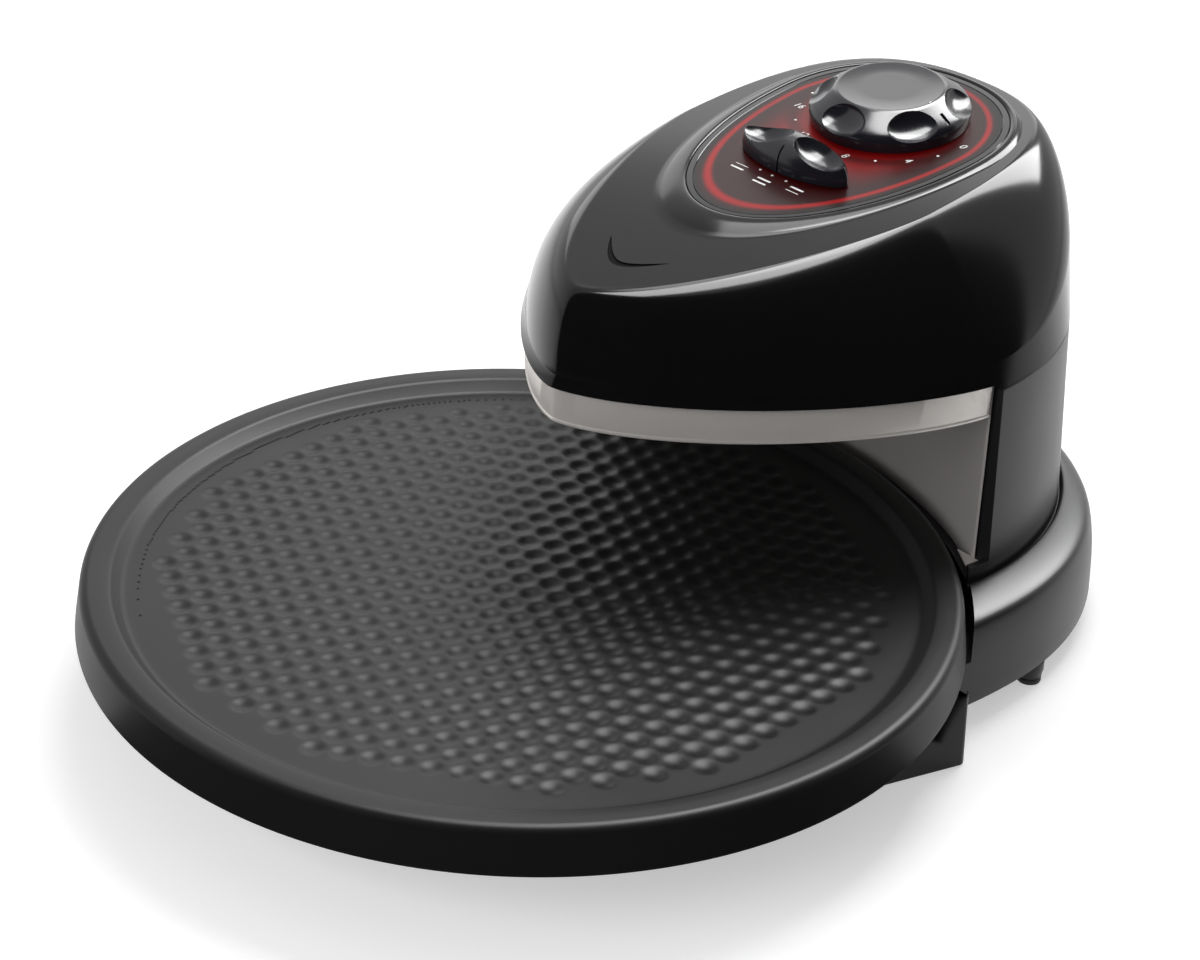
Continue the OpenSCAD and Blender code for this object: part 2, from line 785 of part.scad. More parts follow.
// The same stations mirrored in X and run backwards.
function mirrored_back(stations) =
    [for (i = [len(stations) - 2:-1:0]) let (s = stations[i])
        station([-s[0].x, s[0].y, s[0].z], -s[1], -s[2])];

module element_loop(front, front_r, rear, rear_r, pin_x, z, pin_z) {
    half = element_half(front, front_r, rear, rear_r, pin_x, z, pin_z);
    bent_tube(concat(half, mirrored_back(half)), element_r);
}

insulator_r = 6;
element_drop = 8;
upper_z = reflector_top - steel - element_drop;
upper_front = [0, 0.44 * head_y];
upper_front_r = 22;
upper_rear = [0.515 * head_half_w, 0.853 * head_y];
upper_bend = 16;
upper_pin_x = 14;
upper_pin_y = upper_rear.y + upper_bend;
module upper_element() {
    color(dark_metal) at_pan_axis()
        element_loop(upper_front, upper_front_r, upper_rear, upper_bend, upper_pin_x, upper_z, floor_z
            + floor_t + 8);
}

module upper_insulators() {
    color("#e6e0d2") at_pan_axis() for (s = [-1, 1]) translate([s * upper_pin_x, upper_pin_y,
        0]) difference() {
        rod(insulator_r, reflector_top - steel - 2, floor_t + steel + 6);
        rod(element_r + 0.05, reflector_top - 10, 30);
    }
}

lower_z = deck_z - 0.4;
lower_front = [0, 0.4 * head_y];
lower_front_r = 20;
lower_rear = [0.55 * lower_half_w, 0.787 * head_y];
lower_bend = 15;
lower_pin_x = 13;
lower_pin_y = lower_rear.y + lower_bend;
dish_depth = 9;
module lower_element() {
    color(dark_metal) at_pan_axis()
        element_loop(lower_front, lower_front_r, lower_rear, lower_bend, lower_pin_x, lower_z,
            deck_z - dish_depth - 6);
}

module lower_insulators() {
    color("#e6e0d2") at_pan_axis() for (s = [-1, 1]) translate([s * lower_pin_x, lower_pin_y,
        0]) difference() {
        rod(insulator_r, deck_z - dish_depth - 4, 7);
        rod(element_r + 0.05, deck_z - dish_depth - 10, 30);
    }
}

module lower_reflector() {
    color(bright_steel) at_pan_axis() translate([0, lower_y, 0]) difference() {
        union() {
            slab(lower_outline(-lower_flange), deck_z, deck_z + steel);
            lower_dish(0.4);
        }
        lower_dish(0.4 + steel, steel);
        for (s = [-1, 1])
            translate([s * lower_pin_x, lower_pin_y - lower_y, deck_z - 2 * dish_depth]) cylinder(h = 20,
                r = insulator_r + 0.2, $fn = small_fn);
    }
}

module lower_dish(inset, up = 0) {
    lean = 8;
    hull() {
        slab(lower_outline(inset + lean), deck_z - dish_depth + up, deck_z - dish_depth + up + 0.1);
        slab(lower_outline(inset), deck_z + up * 2 - 0.1, deck_z + up * 2);
    }
}

// Spring clips that hold the elements to their reflectors.
module element_clips() {
    color(bright_steel) at_pan_axis() {
        // upper clips hang from the reflector
        element_clip([0, upper_front.y - upper_front_r, upper_z], reflector_top - steel, 90);
        both_sides() element_clip([upper_rear.x + upper_bend, upper_rear.y, upper_z],
            reflector_top - steel, 0);
        // lower clips stand on the reflector
        element_clip([0, lower_front.y - lower_front_r, lower_z], deck_z - dish_depth + steel, 90);
        both_sides() element_clip([lower_rear.x + lower_bend, lower_rear.y, lower_z], deck_z - dish_depth
            + steel, 0);
    }
}

module element_clip(at, seat_z, turn) {
    w = 5;
    t = 0.8;
    gap = 0.25;
    up = seat_z > at.z;
    h = abs(seat_z - at.z);
    translate(at) mirror([0, 0, up ? 0 : 1]) rotate([0, 0, turn]) difference() {
        union() {
            rotate([90, 0, 0]) rod(element_r + gap + t, -w / 2, w);
            translate([-t, -w / 2, element_r]) cube([2 * t, w, h - element_r]);
        }
        rotate([90, 0, 0]) rod(element_r + gap, -w, 2 * w);
        translate([-10, -w, -10]) cube([20, 2 * w, 10 - element_r * 0.5]);
    }
}

// Curved steel wall behind the pan, with the sills that close the corners beside the pan.
module heat_shield() {
    sill_top = sill_z - 2;
    sill_reach = 30;
    color(bright_steel) at_pan_axis() {
        difference() {
            translate([0, 0, column_deck_z]) cylinder(h = reflector_top - column_deck_z, r = shield_r
                + steel, $fn = 180);
            translate([0, 0, column_deck_z - past]) cylinder(h = 200, r = shield_r, $fn = 180);
            translate([-far, head_y - far, 0]) cube([2 * far, far, far]);
        }
        translate([0, 0, sill_top - steel]) linear_extrude(steel) difference() {
            union() {
                intersection() {
                    translate([0, head_y]) polygon(head_outline(head_wall + 0.1));
                    translate([-far, head_y - sill_reach]) square([2 * far, sill_reach]);
                }
                intersection() {
                    circle(shield_r + steel, $fn = 180);
                    translate([-far, head_y - 1]) square([2 * far, 2]);
                }
            }
            circle(sweep_r, $fn = 180);
        }
    }
}

module thermal_cutout() {
    color(bright_steel) at_pan_axis() translate([0, lower_y, floor_z + floor_t]) {
        cylinder(h = 8, r = 9, $fn = small_fn);
        translate([-14, -4, 0]) cube([28, 8, 1]);
    }
}

module reflector_screws() {
    head_r = 3;
    head_h = 1.4;
    color(bright_steel) at_pan_axis() both_sides() {
        translate([lower_half_w * 0.62, lower_y + lower_tail * 0.88, deck_z + steel]) cylinder(h = head_h,
            r = head_r, $fn = small_fn);
    }
}

// ---- drive ----

bush_r = 8;
bush_top = deck_z + 2;
motor_top = deck_z - base_wall;
motor_h = motor_top - base_z - cover_t - 1;
shoulder_top = pan_under_z - 11.5;
module drive_motor() {
    ear = [2 * motor_screw_x + 10, 12, 1.5];
    color(bright_steel) at_pan_axis() difference() {
        union() {
            rod(motor_r, motor_top - motor_h, motor_h, turned_fn);
            translate([-ear.x / 2, -ear.y / 2, motor_top - ear.z]) cube(ear);
        }
        rod(spindle_r + run_fit, motor_top - 8, 20, turned_fn);
        both_sides() translate([motor_screw_x, 0, 0]) cylinder(h = 100, r = screw_r, $fn = small_fn);
    }
}

motor_screw_x = motor_r + 7;
module motor_screws() {
    color(dark_metal) at_pan_axis() both_sides() translate([motor_screw_x, 0, 0]) {
        rod(3, motor_top - 3.1, 1.6);
        rod(screw_r, motor_top - 1.5, 3);
    }
}

module spindle_bush() {
    color("#b08a4a") at_pan_axis() difference() {
        union() {
            rod(bush_r, motor_top, bush_top - motor_top, turned_fn);
            rod(bush_r + 3, deck_z, bush_top - deck_z, turned_fn);
        }
        rod(spindle_r + run_fit, motor_top - past, 20, turned_fn);
    }
}

flat_depth = 1.2;
module spindle_section(grow) {
    difference() {
        circle(spindle_r + grow, $fn = turned_fn);
        translate([spindle_r - flat_depth + grow, -10]) square(20);
    }
}

module drive_spindle() {
    color(bright_steel) at_pan_axis() {
        rod(spindle_r, motor_top - 7, bush_top - motor_top + 8, turned_fn);
        rod(shoulder_r, bush_top + seat_gap, shoulder_top - bush_top - seat_gap, turned_fn);
        translate([0, 0, shoulder_top]) linear_extrude(pan_under_z - 2 - shoulder_top) spindle_section(0);
    }
}

// ---- pan ----

// Turned section of the pan's sheet: well, slope, rim, rounded edge and flared skirt with its hem.
module pan_section() {
    edge_r = 4;
    t = pan_sheet;
    slope_out = rim_r - rim_w;
    slope_in = slope_out - well_slope;
    hem = 0.8;
    polygon(concat(
        [[0, well_z], [slope_in, well_z], [slope_out, rim_z]],
        [for (a = [90:-15:10]) [rim_r - edge_r + edge_r * cos(a), rim_z - edge_r + edge_r * sin(a)]],
        [[skirt_r, skirt_z + 1], [skirt_r, skirt_z], [skirt_r - t - hem, skirt_z],
            [skirt_r - t - hem, skirt_z + 2]],
        [for (a = [10:15:90]) [rim_r - edge_r + (edge_r - t) * cos(a), rim_z - edge_r + (edge_r - t)
            * sin(a)]],
        [[slope_out + t * 0.4, rim_z - t], [slope_in + t * 0.4, well_z - t], [0, well_z - t]]));
}

module baking_pan() {
    color("#202124") at_pan_axis() rotate_extrude($fn = 180) pan_section();
}

module pan_hub() {
    plate_r = 30;
    boss_r = 10;
    color(dark_metal) at_pan_axis() difference() {
        union() {
            rod(plate_r, pan_under_z - 1.2, 1.2, turned_fn);
            rod(boss_r, shoulder_top + 0.1, pan_under_z - shoulder_top - 0.1, turned_fn);
        }
        translate([0, 0, shoulder_top - past]) linear_extrude(pan_under_z - 1.5 - shoulder_top
            + past) spindle_section(0.1);
    }
}

// ---- feet ----

module each_foot() {
    both_sides() {
        translate(base_spot(9.5, 5.6)) children();
        translate(base_spot(58, 16)) children();
    }
}

module foot_legs() {
    leg_r = 5.6;
    color(black_satin) at_pan_axis() each_foot()
        rod(leg_r, pad_h, base_z - pad_h);
}

module foot_pads() {
    color("#202022") at_pan_axis() each_foot() cylinder(h = pad_h, r = pad_r, $fn = small_fn);
}

// ---- wiring ----

inlet_z = 24;
inlet_r = 7;
module terminal_block() {
    block = [34, 14, 12];
    color("#e6e0d2") at_pan_axis() translate([-block.x / 2, base_rear - 45, base_z + cover_t]) difference() {
        cube(block);
        for (i = [0:2]) translate([6 + 11 * i, -past, 6]) rotate([-90, 0, 0]) cylinder(h = 30, r = 2,
            $fn = small_fn);
    }
}

module cord_inlet() {
    bore = 3.6;
    color(black_satin) at_pan_axis() translate([0, base_rear - 1, inlet_z]) rotate([90, 0, 0]) difference() {
        union() {
            cylinder(h = 12, r = inlet_r - 0.1, $fn = small_fn);
            rod(inlet_r + 2, 4, 2.5);
        }
        rod(bore, -past, 30);
    }
}

base_pedestal();
base_cover();
base_tray();
column_shell();
upper_housing();
head_floor();
control_panel();
dial_field();
timer_knob();
timer_pointer();
timer_shaft();
timer_body();
timer_bracket();
selector_knob();
selector_shaft();
selector_switch();
upper_reflector();
upper_element();
upper_insulators();
heat_shield();
thermal_cutout();
lower_reflector();
lower_element();
lower_insulators();
element_clips();
drive_motor();
spindle_bush();
drive_spindle();
baking_pan();
pan_hub();
foot_legs();
foot_pads();
tray_pads();
cover_screws();
motor_screws();
reflector_screws();
column_screws();
terminal_block();
cord_inlet();
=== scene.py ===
"""Looks of a countertop pizza oven with a rotating pan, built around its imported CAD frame.

Shapes are drawn in the machine frame: millimetres, y behind the pan's axis, z above the floor.
make_piece() turns them into metres in the frame of the CAD.
"""

import json
import math

import bmesh
import bpy
from mathutils import Matrix, Vector
from mathutils.geometry import delaunay_2d_cdt


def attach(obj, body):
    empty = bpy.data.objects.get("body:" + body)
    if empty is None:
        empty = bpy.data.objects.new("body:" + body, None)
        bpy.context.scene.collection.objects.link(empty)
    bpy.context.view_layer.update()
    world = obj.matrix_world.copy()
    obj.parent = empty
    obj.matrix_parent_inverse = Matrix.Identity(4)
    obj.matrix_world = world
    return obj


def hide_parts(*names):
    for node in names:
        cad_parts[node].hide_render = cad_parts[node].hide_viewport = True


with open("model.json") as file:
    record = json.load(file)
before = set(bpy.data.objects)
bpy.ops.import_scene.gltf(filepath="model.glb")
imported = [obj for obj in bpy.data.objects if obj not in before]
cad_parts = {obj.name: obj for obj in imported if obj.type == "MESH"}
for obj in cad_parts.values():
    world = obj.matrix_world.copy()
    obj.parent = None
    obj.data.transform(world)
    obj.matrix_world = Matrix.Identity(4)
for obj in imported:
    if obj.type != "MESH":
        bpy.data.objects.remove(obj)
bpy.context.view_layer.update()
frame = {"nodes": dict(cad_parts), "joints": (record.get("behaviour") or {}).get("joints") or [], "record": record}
MM = 0.001

# ---- places taken from the frame ----

joints = {j["name"]: j for j in frame["joints"]}
PAN_Y = joints["pan_spin"]["pos_m"][1]
KNOB_POS = Vector(joints["timer_turn"]["pos_m"])
KNOB_AXIS = Vector(joints["timer_turn"]["axis"])
TILT = math.atan2(-KNOB_AXIS.y, KNOB_AXIS.z)
KNOB_Y = (KNOB_POS.y - PAN_Y) / MM
PANEL_Z = KNOB_POS.z / MM

# ---- sizes, in mm ----

STEPS = 240
FAR = 400
HEAD_HALF_W = 112
HEAD_Y = 150
HEAD_NOSE = 141.5
HEAD_TAIL = 115
HEAD_POWERS = (1.47, 2.0)
HEAD_TOP_Z = 196.2
TOP_TILT = math.radians(4.57)
TOP_BOW_R = 2083
FLAT_HALF_W = 66.3
FLAT_NOSE = 126.5
FLAT_TAIL = 105
FLAT_POWERS = (1.5, 2.6)
WALL_DRAFT = 3.4
WALL = 2.8
HEAD_Z = 135
SEAM_Z = 132
SEAM_GAP = 0.3
DIAL_HALF_W = 48.9
DIAL_FRONT = 104.2
DIAL_REAR = 43.8
DIAL_MID = 8
DIAL_POWERS = (2, 2.2)
DIAL_BORDER = 2.8
CREST_W = 1.6
CREST_RISE = 0.4
RAMP_W = 5.3
PANEL_T = 2
PANEL_FIT = 0.15
LEDGE_T = 1.6
SILL_Z = 54.7
DECK_Z = 47
BAND_Z = 119
BAND_INSET = 3.5
REFLECTOR_TOP = 134.7
STEEL = 0.8
SWEEP_R = 179.5
SHIELD_R = 183.5
RIM_R = 175
SKIRT_R = 177
RIM_Z = 56
SKIRT_Z = 36.4
RIM_W = 12
WELL_DEPTH = 5
WELL_SLOPE = 4.5
SHEET = 1.5
BASE_HALF_W = 138.5
BASE_Y = 140
BASE_NOSE = 172
BASE_TAIL = 140
BASE_POWERS = (2.1, 2.1)
BASE_Z = 10.5
BASE_WALL = 2.5
UNDER_DECK_Z = 31
COLUMN_SIDE = 2.8
COLUMN_REAR = 8
TRAY_H = 33
TRAY_HALF_W = 153.8
TRAY_REAR_Y = 98
TRAY_FRONT_R = 62
TRAY_CORNER = (50, -30)
TRAY_DRAFT = 1.7
TRAY_WALL = 2.4
KNOB_R = 33.8
KNOB_H = 14
KNOB_LIFT = 0.4
SELECTOR_OFFSET = 57.5


# ---- mesh helpers ----

ANGLES = [2 * math.pi * i / STEPS for i in range(STEPS)]
BEVEL_STEPS = 3


def power(value, exponent):
    return math.copysign(abs(value) ** exponent, value)


def make_piece(name, bm, sharp=35.0):
    """Turn a bmesh drawn in mm into a smooth-shaded object whose steep edges stay crisp."""
    bmesh.ops.remove_doubles(bm, verts=bm.verts, dist=1e-4)
    bmesh.ops.scale(bm, vec=(MM, MM, MM), verts=bm.verts)
    bmesh.ops.translate(bm, vec=(0, PAN_Y, 0), verts=bm.verts)
    bmesh.ops.recalc_face_normals(bm, faces=bm.faces)
    mark_edges(bm, sharp)
    mesh = bpy.data.meshes.new(name)
    bm.to_mesh(mesh)
    bm.free()
    piece = bpy.data.objects.new(name, mesh)
    bpy.context.scene.collection.objects.link(piece)
    return piece


def mark_edges(bm, sharp):
    limit = math.radians(sharp)
    for face in bm.faces:
        face.smooth = True
    for edge in bm.edges:
        edge.smooth = len(edge.link_faces) == 2 and edge.calc_face_angle(0) < limit


def crisp(piece, sharp=35.0):
    """Mark the steep edges of a finished mesh again after a boolean."""
    bm = bmesh.new()
    bm.from_mesh(piece.data)
    bmesh.ops.dissolve_degenerate(bm, dist=1e-7, edges=bm.edges)
    mark_edges(bm, sharp)
    bm.to_mesh(piece.data)
    bm.free()
    return piece


def add_rings(bm, rings, closed=False):
    """Skin through rings of equally many points. Closed joins the last ring to the first."""
    rows = [[bm.verts.new(p) for p in ring] for ring in rings]
    count = len(rows[0])
    pairs = list(zip(rows, rows[1:]))
    if closed:
        pairs.append((rows[-1], rows[0]))
    for low, high in pairs:
        for i in range(count):
            j = (i + 1) % count
            bm.faces.new((low[i], low[j], high[j], high[i]))
    if not closed:
        bm.faces.new(list(reversed(rows[0])))
        bm.faces.new(rows[-1])


def loft(name, rings, sharp=35.0, closed=False):
    bm = bmesh.new()
    add_rings(bm, rings, closed)
    return make_piece(name, bm, sharp)


def apply_modifiers(piece):
    depsgraph = bpy.context.evaluated_depsgraph_get()
    mesh = bpy.data.meshes.new_from_object(piece.evaluated_get(depsgraph))
    piece.modifiers.clear()
    old = piece.data
    piece.data = mesh
    bpy.data.meshes.remove(old)
    return piece


def cut(piece, cutter, operation="DIFFERENCE"):
    """Boolean of two pieces. The cutter is removed."""
    modifier = piece.modifiers.new("cut", "BOOLEAN")
    modifier.operation = operation
    modifier.solver = "EXACT"
    modifier.object = cutter
    apply_modifiers(piece)
    bpy.data.objects.remove(cutter)
    return piece


def soften(piece, width, angle):
    """Round the steep edges of a piece by a width in mm."""
    modifier = piece.modifiers.new("edge", "BEVEL")
    modifier.width = width * MM
    modifier.segments = BEVEL_STEPS
    modifier.limit_method = "ANGLE"
    modifier.angle_limit = math.radians(angle)
    return apply_modifiers(piece)


def box_mesh(low, high):
    bm = bmesh.new()
    bmesh.ops.create_cube(bm, size=1)
    bmesh.ops.scale(bm, vec=Vector(high) - Vector(low), verts=bm.verts)
    bmesh.ops.translate(bm, vec=(Vector(high) + Vector(low)) / 2, verts=bm.verts)
    return bm


def block(low, high):
    """Rectangular cutter."""
    return make_piece("cutter", box_mesh(low, high))


def scoop_mesh(radii, turn, at, u_steps, v_steps):
    """Ellipsoid turned about Y and moved, for a finger hollow in a knob."""
    bm = bmesh.new()
    bmesh.ops.create_uvsphere(bm, u_segments=u_steps, v_segments=v_steps, radius=1)
    bmesh.ops.scale(bm, vec=radii, verts=bm.verts)
    bmesh.ops.rotate(bm, cent=(0, 0, 0), matrix=Matrix.Rotation(turn, 3, "Y"), verts=bm.verts)
    bmesh.ops.translate(bm, vec=at, verts=bm.verts)
    return bm


def circle(r, steps=STEPS, at=(0.0, 0.0)):
    return [(at[0] + r * math.cos(2 * math.pi * i / steps), at[1] + r * math.sin(2 * math.pi * i / steps))
            for i in range(steps)]


def lifted(outline, z, y=0.0):
    return [(p[0], p[1] + y, z) for p in outline]


def slab(outline, low, high, y=0.0):
    return loft("cutter", [lifted(outline, low, y), lifted(outline, high, y)])


def rounded(points, rounds=2):
    """Corner-cutting curve through an open line of points, with its ends kept."""
    for _ in range(rounds):
        line = [points[0]]
        for a, b in zip(points, points[1:]):
            line.append(tuple(0.75 * u + 0.25 * v for u, v in zip(a, b)))
            line.append(tuple(0.25 * u + 0.75 * v for u, v in zip(a, b)))
        points = line + [points[-1]]
    return points


def on_panel(point):
    """Point of the control panel's frame, its origin at the timer knob's axis, in the machine frame."""
    x, y, z = point
    return (x, KNOB_Y + y * math.cos(TILT) - z * math.sin(TILT),
            PANEL_Z + y * math.sin(TILT) + z * math.cos(TILT))


def panel_rod(r, low, high, steps, y=0.0):
    """Round cutter or boss that stands square to the control panel."""
    outline = circle(r, steps, (0, y))
    return loft("cutter", [[on_panel((p[0], p[1], z)) for p in outline] for z in (low, high)])


def egg_point(half_w, nose, tail, n_nose, n_tail, angle):
    n, length = (n_nose, nose) if math.sin(angle) < 0 else (n_tail, tail)
    return (half_w * power(math.cos(angle), 2 / n), length * power(math.sin(angle), 2 / n))


def egg(half_w, nose, tail, n_nose, n_tail):
    return [egg_point(half_w, nose, tail, n_nose, n_tail, a) for a in ANGLES]


# ---- materials ----

TONE_SPREAD = 0.05


class Nodes:
    """Small helper for a material's node tree."""

    def __init__(self, name):
        self.material = bpy.data.materials.new(name)
        self.material.use_nodes = True
        self.tree = self.material.node_tree
        self.shader = self.tree.nodes["Principled BSDF"]

    def add(self, kind, **values):
        node = self.tree.nodes.new(kind)
        for key, value in values.items():
            if key in node.inputs:
                node.inputs[key].default_value = value
            else:
                setattr(node, key, value)
        return node

    def join(self, source, target):
        self.tree.links.new(source, target)

    def where(self):
        return self.add("ShaderNodeTexCoord").outputs["Object"]

    def math(self, operation, *values):
        node = self.add("ShaderNodeMath", operation=operation)
        for socket, value in zip(node.inputs, values):
            if isinstance(value, (int, float)):
                socket.default_value = value
            else:
                self.join(value, socket)
        return node.outputs["Value"]

    def spread(self, source, low, high, start=0.3, end=0.7, smooth=False):
        """Map a source from start to end onto a value from low to high."""
        node = self.add("ShaderNodeMapRange")
        if smooth:
            node.interpolation_type = "SMOOTHSTEP"
        for key, value in (("From Min", start), ("From Max", end), ("To Min", low), ("To Max", high)):
            node.inputs[key].default_value = value
        self.join(source, node.inputs["Value"])
        return node.outputs["Result"]

    def noise(self, scale, detail, vector=None):
        node = self.add("ShaderNodeTexNoise", Scale=scale, Detail=detail)
        self.join(vector or self.where(), node.inputs["Vector"])
        return node.outputs["Fac"]

    def bump(self, height, distance, strength=0.5):
        node = self.add("ShaderNodeBump", Strength=strength, Distance=distance)
        self.join(height, node.inputs["Height"])
        self.join(node.outputs["Normal"], self.shader.inputs["Normal"])

    def tint(self, factor, low, high):
        node = self.add("ShaderNodeMixRGB", Color1=(*low, 1), Color2=(*high, 1))
        self.join(factor, node.inputs["Fac"])
        self.join(node.outputs["Color"], self.shader.inputs["Base Color"])
        return node


def plastic(name, colour, rough, grain, height, specular=0.5):
    """Moulded plastic or paint: slight variation of gloss and tone over a fine surface grain."""
    nodes = Nodes(name)
    shader = nodes.shader
    shader.inputs["Specular IOR Level"].default_value = specular
    wide = nodes.noise(22.0, 3.0)
    less, more = 1 - TONE_SPREAD, 1 + TONE_SPREAD
    nodes.tint(wide, [less * c for c in colour], [more * c for c in colour])
    nodes.join(nodes.spread(wide, less * rough, more * rough), shader.inputs["Roughness"])
    nodes.bump(nodes.noise(grain, 4.0), height)
    return nodes.material


def brushed_steel(name, colour, rough, stretch, grain=900.0, height=0.00004, metallic=1.0):
    """Satin metal: fine scratches, stretched along one direction, and a faint change of tone."""
    nodes = Nodes(name)
    shader = nodes.shader
    shader.inputs["Metallic"].default_value = metallic
    mapping = nodes.add("ShaderNodeMapping", Scale=stretch)
    nodes.join(nodes.where(), mapping.inputs["Vector"])
    fine = nodes.noise(grain, 5.0, mapping.outputs["Vector"])
    nodes.join(nodes.spread(fine, rough - 0.06, rough + 0.08), shader.inputs["Roughness"])
    nodes.bump(fine, height, 0.3)
    wide = nodes.math("MULTIPLY", nodes.noise(25.0, 2.0), 0.6)
    tone = nodes.math("ADD", wide, nodes.math("MULTIPLY", fine, 0.4))
    nodes.tint(tone, [0.86 * c for c in colour], colour)
    return nodes.material


def dial_print():
    """Red dial printed under clear film: a bright line inside the edge, a dark field and a glow."""
    nodes = Nodes("dial_red")
    shader = nodes.shader
    shader.inputs["Roughness"].default_value = 0.28
    shader.inputs["Specular IOR Level"].default_value = 0.12
    parts = nodes.add("ShaderNodeSeparateXYZ")
    nodes.join(nodes.where(), parts.inputs["Vector"])
    x = nodes.math("MULTIPLY", parts.outputs["X"], 1 / MM)
    back = nodes.math("SUBTRACT", parts.outputs["Y"], KNOB_POS.y)
    y = nodes.math("MULTIPLY", back, 1 / MM / math.cos(TILT))
    mid = nodes.math("ADD", y, DIAL_MID)
    front = nodes.math("LESS_THAN", mid, 0)
    more = nodes.math("MULTIPLY", front, DIAL_FRONT - DIAL_REAR - 2 * DIAL_MID)
    reach = nodes.math("ADD", DIAL_REAR + DIAL_MID, more)
    across = nodes.math("DIVIDE", x, DIAL_HALF_W)
    along = nodes.math("DIVIDE", mid, reach)
    egg_r = nodes.math("SQRT", nodes.math("ADD", nodes.math("MULTIPLY", across, across),
                                          nodes.math("MULTIPLY", along, along)))
    knob_r = nodes.math("SQRT", nodes.math("ADD", nodes.math("MULTIPLY", x, x), nodes.math("MULTIPLY", y, y)))
    # bright line, from 0.885 to 0.96 of the way out with soft edges
    line = nodes.math("MULTIPLY", nodes.spread(egg_r, 0, 1, 0.885, 0.918, True),
                      nodes.spread(egg_r, 1, 0, 0.922, 0.96, True))
    # glow outside the ring of numbers, faded towards the dark edge and the front
    inside = nodes.spread(egg_r, 1, 0, 0.42, 0.86, True)
    off_ring = nodes.spread(nodes.math("ABSOLUTE", nodes.math("SUBTRACT", knob_r, 40)), 0.25, 1, 0, 6, True)
    fade = nodes.spread(y, 0, 1, -78, -42, True)
    glow = nodes.math("MULTIPLY", nodes.math("MULTIPLY", inside, off_ring), fade)
    mottle = nodes.spread(nodes.noise(45.0, 3.0), 0.85, 1.1)
    light = nodes.math("MULTIPLY", nodes.math("ADD", nodes.math("MULTIPLY", glow, 0.8), line), mottle)
    edge = nodes.spread(egg_r, 1, 0, 0.955, 0.995, True)
    lit = nodes.math("ADD", nodes.math("MULTIPLY", light, 0.93), nodes.math("MULTIPLY", edge, 0.06))
    nodes.tint(lit, (0.0035, 0.0015, 0.0015), (0.36, 0.004, 0.005))
    nodes.bump(nodes.noise(900.0, 2.0), 0.000002)
    return nodes.material


MATERIALS = {
    "gloss_black": plastic("gloss_black", (0.0045, 0.0045, 0.005), 0.13, 900, 0.000003, specular=0.24),
    "satin_black": plastic("satin_black", (0.0105, 0.0105, 0.0115), 0.36, 2600, 0.000015, specular=0.34),
    "knob_charcoal": plastic("knob_charcoal", (0.011, 0.0115, 0.0155), 0.2, 1500, 0.000005, specular=0.45),
    "dial_red": dial_print(),
    "white_mark": plastic("white_mark", (0.85, 0.85, 0.85), 0.4, 2000, 0.000004),
    "steel": brushed_steel("steel", (0.74, 0.705, 0.675), 0.4, (1.0, 1.0, 0.35), metallic=0.5),
    "element": plastic("element", (0.06, 0.055, 0.05), 0.6, 2200, 0.00003),
    "nonstick": plastic("nonstick", (0.0085, 0.0083, 0.0082), 0.42, 3000, 0.000015, specular=0.17),
    "plated": brushed_steel("plated", (0.66, 0.66, 0.67), 0.28, (1.0, 1.0, 1.0)),
    "bronze": brushed_steel("bronze", (0.5, 0.34, 0.16), 0.4, (1.0, 1.0, 1.0)),
    "ceramic": plastic("ceramic", (0.7, 0.66, 0.58), 0.7, 1800, 0.00004),
    "rubber": plastic("rubber", (0.03, 0.03, 0.029), 0.65, 2400, 0.00004),
    "dark_metal": brushed_steel("dark_metal", (0.07, 0.07, 0.075), 0.4, (1.0, 1.0, 1.0)),
}
# Matte near-black with almost no gloss. It is the studio card's black, and painted shade in the floor of the
# chevron groove.
FLAG_AND_PAINTED_SHADE_BLACK = plastic("flag_and_painted_shade_black", (0.002, 0.002, 0.002), 0.8, 2000, 0.00001, specular=0.05)
SHIELD_STEEL = brushed_steel("shield_steel", (0.62, 0.59, 0.575), 0.5, (1.0, 1.0, 1.0), 1400.0, 0.00006, 0.5)


def set_material(piece, material):
    piece.data.materials.clear()
    piece.data.materials.append(material)
    return piece


for entry in frame["record"]["subparts"]:
    set_material(frame["nodes"][entry["node"]], MATERIALS[entry["material_slot"]])


def place(piece, name, body, slot, *replaced, material=None):
    piece.name = name
    set_material(piece, material or MATERIALS[slot])
    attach(piece, body)
    if replaced:
        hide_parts(*replaced)
    return piece


# ---- head ----


def head_outline(inset):
    return egg(HEAD_HALF_W - inset, HEAD_NOSE - inset, HEAD_TAIL - inset, *HEAD_POWERS)


def head_top(y):
    """Height of the head's bowed top at y behind the pan's axis."""
    return HEAD_TOP_Z + (y - KNOB_Y) * math.tan(TOP_TILT) - (y - KNOB_Y) ** 2 / (2 * TOP_BOW_R)


def flat_point(inset, a):
    x, y = egg_point(FLAT_HALF_W - inset, FLAT_NOSE - inset, FLAT_TAIL - inset, *FLAT_POWERS, a)
    return x, y + HEAD_Y


def around(rear, side, nose, a):
    """Blend of a rear, a side and a nose value at an angle round the head."""
    end = math.sin(a) ** 2
    return end * (rear if math.sin(a) >= 0 else nose) + (1 - end) * side


def shoulder_ring(inset, drop, t):
    """One ring of the shoulder, from t = 0 at the wall to 90 degrees at the flat part."""
    ring = []
    for a in ANGLES:
        n = around(2.0, 1.15, 2.0, a)
        fx, fy = flat_point(0.45 * inset, a)
        out = WALL_DRAFT + inset
        wx, wy = egg_point(HEAD_HALF_W - out, HEAD_NOSE - out, HEAD_TAIL - out, *HEAD_POWERS, a)
        wy += HEAD_Y
        top = head_top(fy)
        k = abs(math.cos(t)) ** (2 / n)
        fall = around(0.21, 0.85, 0.91, a) * (top - HEAD_Z) * (1 - abs(math.sin(t)) ** (2 / n))
        ring.append((fx + (wx - fx) * k, fy + (wy - fy) * k, top - drop - fall))
    return ring


